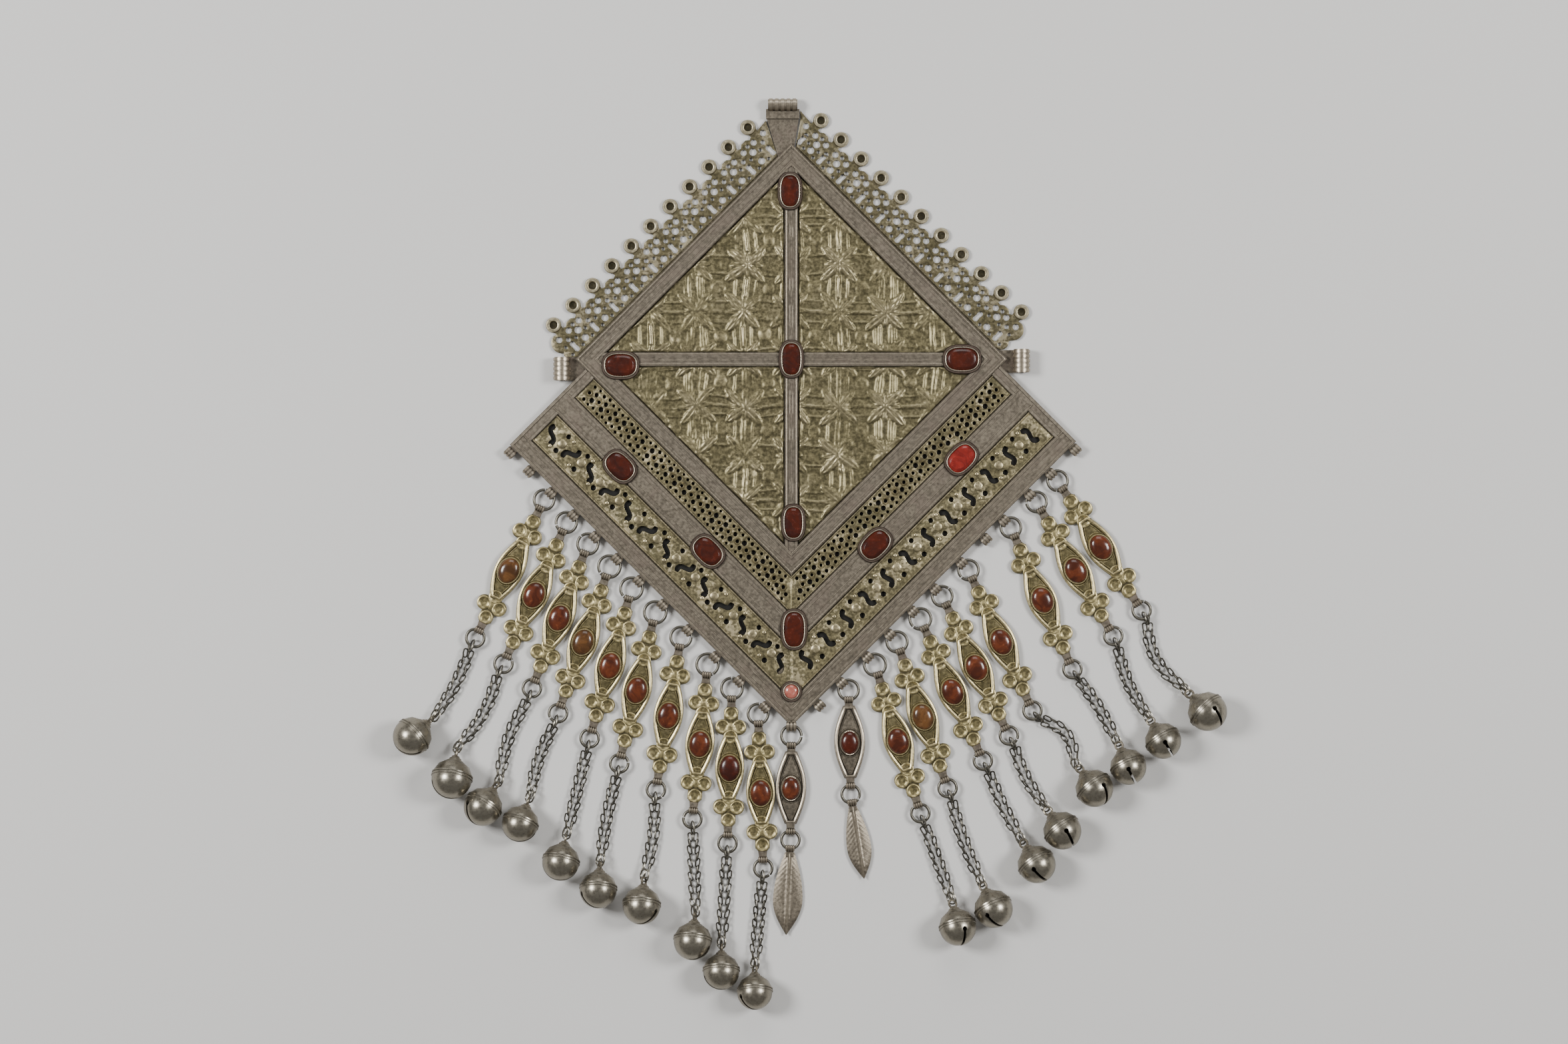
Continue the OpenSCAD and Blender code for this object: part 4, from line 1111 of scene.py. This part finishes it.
class ORNAMENT_OT_crests(bpy.types.Operator):
    """Pierces the two crests and raises their finials"""
    bl_idname = "ornament.crests"
    bl_label = "Crests"

    def execute(self, context):
        button = turned([(ON_AXIS, 0.05), (2.7, 0.05), (2.95, 0.5), (2.9, 1.0), (2.6, 1.36), (2.1, 1.45),
                         (1.6, 1.3), (1.3, 0.85), (1.15, 0.4), (0.6, 0.34), (ON_AXIS, 0.34)], 20)
        for side, name, first, w_first, w_last, level, stem in CRESTS:
            place = crest_map(side)
            slope = (w_last - w_first) / CREST_RUN
            heights = [w_first + k * FINIAL_PITCH * slope for k in range(-1, FINIALS + 1)]
            loops = [crest_outline(first, heights, stem)] + crest_holes(first, heights, stem)
            sheet = cut_sheet([[place(*p) for p in loop] for loop in loops], 0.0, CREST_T, 0.12)
            edit_all(sheet)
            bpy.ops.mesh.bisect(plane_co=(0, level * MM, 0), plane_no=(0, -1, 0), clear_outer=True,
                                use_fill=True, threshold=1e-7)
            mode("OBJECT")
            parts = [sheet]
            for k in range(FINIALS):
                finial = place(first + k * FINIAL_PITCH, heights[k + 1] + FINIAL_RISE)
                parts.append(copy_of(button, shift(*finial)))
            ends = [place(stem[0][0] + 0.5, 0.8), place(first + CREST_RUN + 1.5, 0.8)]
            points = [p for p in stepped(ends, 1.2, CREST_T) if p[1] > level + 0.6]
            parts.append(drawn_wire(points, 0.25, notch=0.3))
            finish_piece(parts, "crest_sheet_" + name, ["crest_" + name], "crest_gilt")
        discard(button)
        return {"FINISHED"}


# Pendants

BAIL_R, BAIL_BORE, BAIL_RIBS = 1.35, 0.95, 4
PETALS = ((0, 5.6), (-3.1, 10.6), (3.1, 10.6), (0, 14.4), (0, 37.2), (-3.1, 40.9), (3.1, 40.9), (0, 45.6))
PETAL_PLATES = ((0, 5.5), (-3.1, 10.9), (3.1, 10.9), (-3.1, 40.6), (3.1, 40.6), (0, 45.7))
CROSSES = (10.6, 40.9)


def ribbed_bail():
    """A short tube along X with raised bands and an open bore."""
    half, low, step = BAIL_LEN / 2, BAIL_R - 0.3, BAIL_LEN / BAIL_RIBS
    rib = ((low, -0.38), (BAIL_R, -0.2), (BAIL_R, 0.2), (low, 0.38))
    profile = [(BAIL_BORE, -half), (low, -half)]
    for k in range(BAIL_RIBS):
        z = -half + (k + 0.5) * step
        profile += [(r, z + step * share) for r, share in rib]
    profile += [(low, half), (BAIL_BORE, half)]
    tube = turned(profile, 16, closed=True)
    tube.data.transform(rotation(90, "Y"))
    return moved(tube, shift(0, 0, RING_Z))


def boat_points(kind, inset=0.0, steps=12):
    """The outline of a pendant's boat body, drawn in by a width."""
    right, left = [], []
    for k in range(steps + 1):
        f = k / steps
        half = kind.end_w / 2 + (kind.mid_w - kind.end_w) / 2 * math.sin(math.pi * f) - inset
        y = -(kind.t0 + inset) - (kind.t1 - kind.t0 - 2 * inset) * f
        right.append((half, y))
        left.append((-half, y))
    return right + left[::-1]


def pendant_plate(kind):
    """The flat body of a pendant, with the two petal crosses of a long one."""
    body = cut_sheet([boat_points(kind)[::-1]], 0.1, 1.0, 0.12)
    if kind is SHORT:
        return [body]
    parts = []
    for a, b in ((4.2, kind.t0 + 1.5), (kind.t1 - 1.5, 47.0)):
        parts.append(cut_sheet([[(-2.7, -a), (2.7, -a), (2.7, -b), (-2.7, -b)]], 0.12, 0.98, 0.1))
    parts += [cut_sheet([hole(x, -t, 2.8, 24)], 0.11, 0.99, 0.12) for x, t in PETAL_PLATES]
    combined(body, parts, "UNION")
    petal = turned([(ON_AXIS, 0.85), (2.6, 0.85), (2.74, 1.15), (2.6, 1.5), (2.2, 1.62), (1.85, 1.4),
                    (1.5, 1.18), (0.9, 1.16), (ON_AXIS, 1.24)], 20)
    boss = turned([(ON_AXIS, 0.85), (1.7, 0.85), (1.6, 1.35), (1.2, 1.5), (0.7, 1.62), (ON_AXIS, 1.66)], 16)
    petals = [copy_of(petal, shift(x, -t)) for x, t in PETALS]
    bosses = [copy_of(boss, shift(0, -t)) for t in CROSSES]
    discard(petal, boss)
    return [body] + petals + bosses


def pendant_model(kind):
    """A pendant and its two bails, its upper bail at the origin."""
    parts = pendant_plate(kind)
    parts.append(drawn_wire(raised(boat_points(kind, 0.75, 16), 1.35), 0.74, True, 2))
    parts.append(drawn_wire(raised(boat_points(kind, 1.75, 16), 1.05), 0.28, True))

    def round_stone(length, width, n):
        return placed(oval(length, width, 2, n), 0, -kind.stone_at, 90)
    steps = [(0.5, 1.0, 1.0), (0.5, 0.95, 0.94), (0.7, 0.95, 0.95), (0.02, 0.97, 0.97)]
    parts.append(extruded_outline(round_stone(kind.collar_l - 0.4, kind.collar_w - 0.4, 36), 0.85, steps))
    for outline, z in ((round_stone(kind.stone_l + 0.3, kind.stone_w + 0.3, 72), 2.62),
                       (round_stone(kind.collar_l + 0.1, kind.collar_w + 0.1, 60), 1.15)):
        parts.append(drawn_wire(raised(outline, z), 0.34, True, notch=0.35))
    bails = []
    for t, way in ((0, 1), (kind.length, -1)):
        near, far = -t - 0.95 * way, -t - 3.3 * way
        tongue = [(-1.4, near), (1.4, near), (1.7, far), (-1.7, far)][::way]
        bails.append(moved(ribbed_bail(), shift(0, -t)))
        bails.append(extruded_outline(tongue, 0.9, [(0.75, 1, 0.98), (0.2, 0.9, 0.9)]))
    return joined("pendant", parts), joined("bails", bails)


class ORNAMENT_OT_pendants(bpy.types.Operator):
    """Builds a long and a short pendant and hangs their copies in the fringe"""
    bl_idname = "ornament.pendants"
    bl_label = "Pendants"

    def execute(self, context):
        models = {kind: pendant_model(kind) for kind in (LONG, SHORT)}
        bails = []
        for i in range(len(FRINGE)):
            model, pair = models[boat(i)]
            piece = copy_of(model, pendant_matrix(i))
            bails.append(copy_of(pair, pendant_matrix(i)))
            kind, slot = ("pendant_silver", "silver") if i in SHORT_ONES else ("pendant_gilt", "gilt")
            number = "_%d" % (i + 1)
            finish_piece([piece], "hung_pendant" + number, ["pendant" + number], kind)
        discard(*models[LONG], *models[SHORT])
        finish_piece(bails, "pendant_bails", [], "silver", 50)
        return {"FINISHED"}


class ORNAMENT_OT_cabochons(bpy.types.Operator):
    """Sets the domed stones of the pendants"""
    bl_idname = "ornament.cabochons"
    bl_label = "Pendant stones"

    def execute(self, context):
        model = turned([(ON_AXIS, 1.0), (1.0, 1.0), (1.0, 2.6), (0.97, 3.0), (0.86, 3.5), (0.66, 3.9),
                        (0.38, 4.12), (ON_AXIS, 4.2)], 32)
        groups = {}
        for i in range(len(FRINGE)):
            kind = boat(i)
            size = Matrix.Diagonal((kind.stone_w / 2, kind.stone_l / 2, 1, 1))
            colour = "brown_cabochon" if i in BROWN_STONES else "cabochon"
            if i in DARK_STONES:
                colour = "carnelian"
            side = "left" if i < CENTRE else "right"
            stone = copy_of(model, pendant_matrix(i) @ shift(0, -kind.stone_at) @ size)
            groups.setdefault((side, colour), []).append(stone)
        discard(model)
        for (side, colour), stones in groups.items():
            name = "domed_stones_%s_%s" % (side, colour.split("_")[0])
            finish_piece(stones, name, ["pendant_stones_" + side], colour, 60)
        return {"FINISHED"}


# Rings and chains

LINK_L, LINK_W = 3.2, 1.55
END_LINK_L, END_LINK_W = 4.6, 3.4
STRAND_SPREAD, RING_CLEAR = 1.4, 0.9
# A chain's height over the floor, at shares of its length
CHAIN_ROUTE = ((0, 1.95), (0.18, 1.3), (0.82, 1.5), (1, 3.2))


def jump_ring(radius, rng):
    """A ring bent from wire, its two ends meeting a hair out of line."""
    points = []
    n = 30
    for k in range(n + 1):
        a = 2 * math.pi * k / n * 0.985
        points.append((radius * math.cos(a), radius * math.sin(a), 0.12 * (k / n - 0.5)))
    ring = drawn_wire(points, RING_WIRE * 0.95, sides=3)
    return moved(ring, Matrix.Rotation(rng.uniform(0, 6.283), 4, "Z"))


class ORNAMENT_OT_rings(bpy.types.Operator):
    """Bends the jump rings above and below the pendants"""
    bl_idname = "ornament.rings"
    bl_label = "Jump rings"

    def execute(self, context):
        rng = random.Random(3)
        for name, place in (("upper", ring_place), ("lower", lower_ring_place)):
            rings = []
            for i in range(len(FRINGE)):
                radius = upper_r(i) if name == "upper" else LOWER_R
                rings.append(moved(jump_ring(radius, rng), shift(*place(i), RING_Z)))
            finish_piece(rings, "jump_rings_" + name, ["rings_" + name], "dark_silver", 60)
        return {"FINISHED"}


def link_model(wire, length, width):
    """One long link in the XY plane, its length along Y."""
    points = []
    for k in range(12):
        a = 2 * math.pi * k / 12
        c, s = math.cos(a), math.sin(a)
        straight = (length - width) / 2 * (1 if s >= 0 else -1) * (abs(s) > 0.3)
        points.append((width / 2 * c, straight + width / 2 * s, 0))
    return drawn_wire(points, wire, True, 0)


def chain_z(f):
    for (f0, z0), (f1, z1) in zip(CHAIN_ROUTE, CHAIN_ROUTE[1:]):
        if f <= f1:
            k = (f - f0) / (f1 - f0)
            return z0 + (z1 - z0) * k * k * (3 - 2 * k)
    return CHAIN_ROUTE[-1][1]


def chain_links(i, link, end_link, pitch, rng):
    """The two strands of one chain, from its lower ring to its bell, and its two end links."""
    a, b = lower_ring_place(i), bell_loop_place(i)
    run = (b - a).length
    way = (b - a) / run
    across = Vector((-way.y, way.x))
    begin, stop = LOWER_R + RING_CLEAR, run - RING_CLEAR
    count = int((stop - begin) / pitch)

    def spot(f):
        p = a + way * (begin + (stop - begin) * f) + across * FRINGE[i].bow * math.sin(math.pi * f)
        return Vector((*p, chain_z(f)))

    def facing(f, way):
        """The place of a link at a share of the chain, along its way."""
        return Matrix.Translation(spot(f)) @ Matrix.Rotation(math.atan2(way.y, way.x) - math.pi / 2, 4, "Z")
    links = []
    for k in range(count + 1):
        f = k / count
        tangent = (spot(min(1, f + 0.02)) - spot(max(0, f - 0.02))).normalized()
        spread = STRAND_SPREAD * min(1, 0.35 + 5 * f, 0.35 + 5 * (1 - f))
        for strand in (-1, 1):
            tilt = strand * (8 + rng.uniform(-6, 6))
            flat = strand * ((12 if k % 2 else 74) + rng.uniform(-10, 10))
            matrix = facing(f, tangent) @ shift(strand * spread, rng.uniform(-0.1, 0.1))
            links.append(copy_of(link, matrix @ rotation(tilt) @ rotation(flat, "Y")))
    for f, along, flat in ((0, -1.2, 70), (1, 0.6, 25)):
        links.append(copy_of(end_link, facing(f, way) @ shift(0, along) @ rotation(flat, "Y")))
    return links


class ORNAMENT_OT_chains(bpy.types.Operator):
    """Links the eighteen double chains"""
    bl_idname = "ornament.chains"
    bl_label = "Chains"

    def execute(self, context):
        s = context.scene.ornament_sizes
        link = link_model(s.chain_wire, LINK_L, LINK_W)
        end_link = link_model(s.chain_wire * 1.15, END_LINK_L, END_LINK_W)
        rng = random.Random(11)
        for side, span in BELL_SIDES:
            links = [one for i in span for one in chain_links(i, link, end_link, s.chain_pitch, rng)]
            finish_piece(links, "link_chains_" + side, ["chains_" + side], "dark_silver", 60)
        discard(link, end_link)
        return {"FINISHED"}


# Bells and leaf drops

BELL_R, BELL_CORE_R = 7, 6.3
BELL_LIFT = 7.4


def bell_model(steps):
    """A round bell about Z: grooved cap, two girdle ridges, a slit below and a loop on top."""
    profile = [(ON_AXIS, -BELL_R)] + arc(0, 0, BELL_R, -80, 1, 8)
    profile += [(6.99, 0.12), (7.28, 0.22), (7.28, 0.62), (6.98, 0.75), (6.95, 1.1), (7.2, 1.22), (7.2, 1.62),
                (6.8, 1.75)]
    profile += [(math.sqrt(BELL_R ** 2 - z * z), z) for z in (2.3, 3.0, 3.6)]
    profile += [(5.75, 4.05), (5.55, 4.5), (4.9, 4.75), (4.75, 5.05), (4.2, 5.25), (3.9, 5.7), (3.3, 5.9),
                (3.1, 6.3), (2.3, 6.7), (2.1, 7.3), (1.5, 7.7), (1.3, 8.2), (ON_AXIS, 8.2)]
    body = turned(profile, steps)
    slit = extruded_outline([(-0.5, -9), (0.5, -9), (0.5, 9), (-0.5, 9)], -9, [(6.5, 1, 1)])
    bpy.ops.mesh.primitive_cylinder_add(vertices=16, radius=0.9 * MM, depth=20 * MM,
                                        location=(0, 0, -2.5 * MM), rotation=(math.radians(90), 0, 0))
    slit_ends = apply_place(bpy.context.object)
    core = turned([(ON_AXIS, -BELL_CORE_R)] + arc(0, 0, BELL_CORE_R, -75, 46, 10) + [(ON_AXIS, 4.6)], 24)
    combined(body, (slit, slit_ends, core), "DIFFERENCE")
    loop = drawn_wire([(x, 0, 9.35 + z) for x, z in arc(0, 0, 1.5, 0, 360, 18)], 0.45, True, 2)
    return joined("bell", [body, loop])


class ORNAMENT_OT_bells(bpy.types.Operator):
    """Raises one round bell and lays its eighteen copies at the ends of the chains"""
    bl_idname = "ornament.bells"
    bl_label = "Bells"

    def execute(self, context):
        model = bell_model(context.scene.ornament_sizes.bell_steps)
        for side, span in BELL_SIDES:
            bells = []
            for i in span:
                hung = FRINGE[i]
                roll = BELL_ROLL[i % len(BELL_ROLL)] + (90 if side == "left" else 0)
                place = shift(hung.bell_x, hung.bell_y, BELL_LIFT * hung.bell_size) @ rotation(hung.bell_turn)
                matrix = place @ rotation(-90 - BELL_LEAN, "X") @ rotation(roll)
                bells.append(copy_of(model, matrix @ Matrix.Scale(hung.bell_size, 4)))
            finish_piece(bells, "round_bells_" + side, ["bells_" + side], "bell_silver", 40)
        discard(model)
        return {"FINISHED"}


LEAF_WIDEST = 0.58


def leaf_half(f, w):
    """Half a leaf's width at a share of its length."""
    if f < LEAF_WIDEST:
        share = 0.3 + 0.7 * math.sin(math.radians(90 * f / LEAF_WIDEST))
    else:
        share = math.cos(math.radians(90 * (f - LEAF_WIDEST) / (1 - LEAF_WIDEST)))
    return w / 2 * share + 0.2


def leaf_sheet(length, width):
    """A crowned leaf with a raised middle vein and chased side veins."""
    start()
    bpy.ops.mesh.primitive_grid_add(x_subdivisions=20, y_subdivisions=52, size=2 * MM)
    leaf = bpy.context.object
    for v in leaf.data.vertices:
        u, f = v.co.x / MM, (1 - v.co.y / MM) / 2
        half = leaf_half(f, width) - 0.05
        x = u * half
        vein = 0.5 * math.exp(-(x / 0.45) ** 2)
        rib = 0.16 * abs(math.sin((f * length - abs(x) * 1.1) * math.pi / 1.7)) * (abs(x) > 0.6)
        crown = 1.5 * (1 - (x / (half + 0.8)) ** 2) * min(1, 0.35 + half / (width / 2))
        v.co = (x * MM, (-1.65 - (length - 0.1) * f) * MM, (0.5 + crown * 0.9 + vein - rib) * MM)
    pick(leaf)
    modifier = leaf.modifiers.new("sheet", "SOLIDIFY")
    modifier.thickness = 0.45 * MM
    modifier.offset = -1
    bpy.ops.object.modifier_apply(modifier=modifier.name)
    places = vertex_places(leaf)
    places[:, 2] = np.clip(places[:, 2], 0.02 * MM, 2.38 * MM)
    set_vertex_places(leaf, places)
    return leaf


class ORNAMENT_OT_leaves(bpy.types.Operator):
    """Chases the two leaf drops"""
    bl_idname = "ornament.leaves"
    bl_label = "Leaf drops"

    def execute(self, context):
        for k, (swing, length, width) in enumerate(LEAVES):
            leaf = leaf_sheet(length, width)
            tongue = extruded_outline([(-1.2, -1.0), (-1.5, -3.2), (1.5, -3.2), (1.2, -1.0)], 0.6,
                                      [(1.0, 1, 0.98), (0.3, 0.9, 0.9)])
            drop = joined("leaf", [leaf, ribbed_bail(), tongue])
            moved(drop, shift(*lower_ring_place(CENTRE + k)) @ rotation(swing) @ shift(0, -LOWER_SEAT))
            number = "_%d" % (k + 1)
            finish_piece([drop], "leaf_drop" + number, ["leaf" + number], "pendant_silver", 50)
        return {"FINISHED"}


# Stage

# Lamps: name, place and size in metres, and power in watts
LAMPS = (("lamp_left", (-0.95, 0.2, 1.05), 0.4, 17), ("lamp_right", (0.95, 0.15, 1.05), 0.4, 13),
         ("lamp_far", (0.1, 1.3, 0.9), 0.9, 7))
LAMP_AIM = Vector((0, -0.06, 0))
CAMERA_PLACE, CAMERA_LENS = (-0.00275, -0.061, 1.5), 91.7


class ORNAMENT_OT_stage(bpy.types.Operator):
    """Lays the floor, hangs the lamps and sets the camera above the ornament"""
    bl_idname = "ornament.stage"
    bl_label = "Stage"

    def execute(self, context):
        scene = context.scene
        start()
        bpy.ops.mesh.primitive_plane_add(size=6, location=(0, 0, -0.0003))
        floor = apply_place(bpy.context.object)
        floor.name = "floor"
        floor.data.materials.append(finish("floor"))
        for name, place, size, power in LAMPS:
            data = bpy.data.lights.new(name, "AREA")
            data.size = size
            data.energy = power
            lamp = added(name, data)
            lamp.location = place
            lamp.rotation_euler = (LAMP_AIM - lamp.location).to_track_quat("-Z", "Y").to_euler()
        world = bpy.data.worlds.new("studio")
        world.use_nodes = True
        background = world.node_tree.nodes["Background"].inputs
        background["Color"].default_value = (1.0, 0.98, 0.95, 1)
        background["Strength"].default_value = 0.2
        scene.world = world
        data = bpy.data.cameras.new("camera")
        data.sensor_width = 36
        data.lens = CAMERA_LENS
        data.clip_start = 0.05
        camera = added("camera", data)
        camera.location = CAMERA_PLACE
        scene.camera = camera
        return {"FINISHED"}


OPERATORS = (
    ORNAMENT_OT_frame, ORNAMENT_OT_settings, ORNAMENT_OT_plate_stones, ORNAMENT_OT_panels, ORNAMENT_OT_shade_sheet,
    ORNAMENT_OT_lace, ORNAMENT_OT_scroll, ORNAMENT_OT_crests, ORNAMENT_OT_pendants, ORNAMENT_OT_cabochons,
    ORNAMENT_OT_rings, ORNAMENT_OT_chains, ORNAMENT_OT_bells, ORNAMENT_OT_leaves, ORNAMENT_OT_stage,
)


class ORNAMENT_PT_panel(bpy.types.Panel):
    """Lists the pieces of the ornament"""
    bl_label = "Chest ornament"
    bl_idname = "ORNAMENT_PT_panel"
    bl_space_type = "VIEW_3D"
    bl_region_type = "UI"
    bl_category = "Ornament"

    def draw(self, context):
        layout = self.layout
        for group in (context.scene.ornament_sizes, context.scene.ornament_colours):
            for key in group.__annotations__:
                layout.prop(group, key)
        for operator in OPERATORS:
            layout.operator(operator.bl_idname)


CLASSES = (OrnamentSizes, OrnamentColours) + OPERATORS + (ORNAMENT_PT_panel,)


def register():
    for cls in CLASSES:
        bpy.utils.register_class(cls)
    bpy.types.Scene.ornament_sizes = bpy.props.PointerProperty(type=OrnamentSizes)
    bpy.types.Scene.ornament_colours = bpy.props.PointerProperty(type=OrnamentColours)


def unregister():
    del bpy.types.Scene.ornament_colours
    del bpy.types.Scene.ornament_sizes
    for cls in reversed(CLASSES):
        bpy.utils.unregister_class(cls)


def main():
    register()
    for operator in OPERATORS:
        group, name = operator.bl_idname.split(".")
        getattr(getattr(bpy.ops, group), name)()


if __name__ == "__main__":
    main()
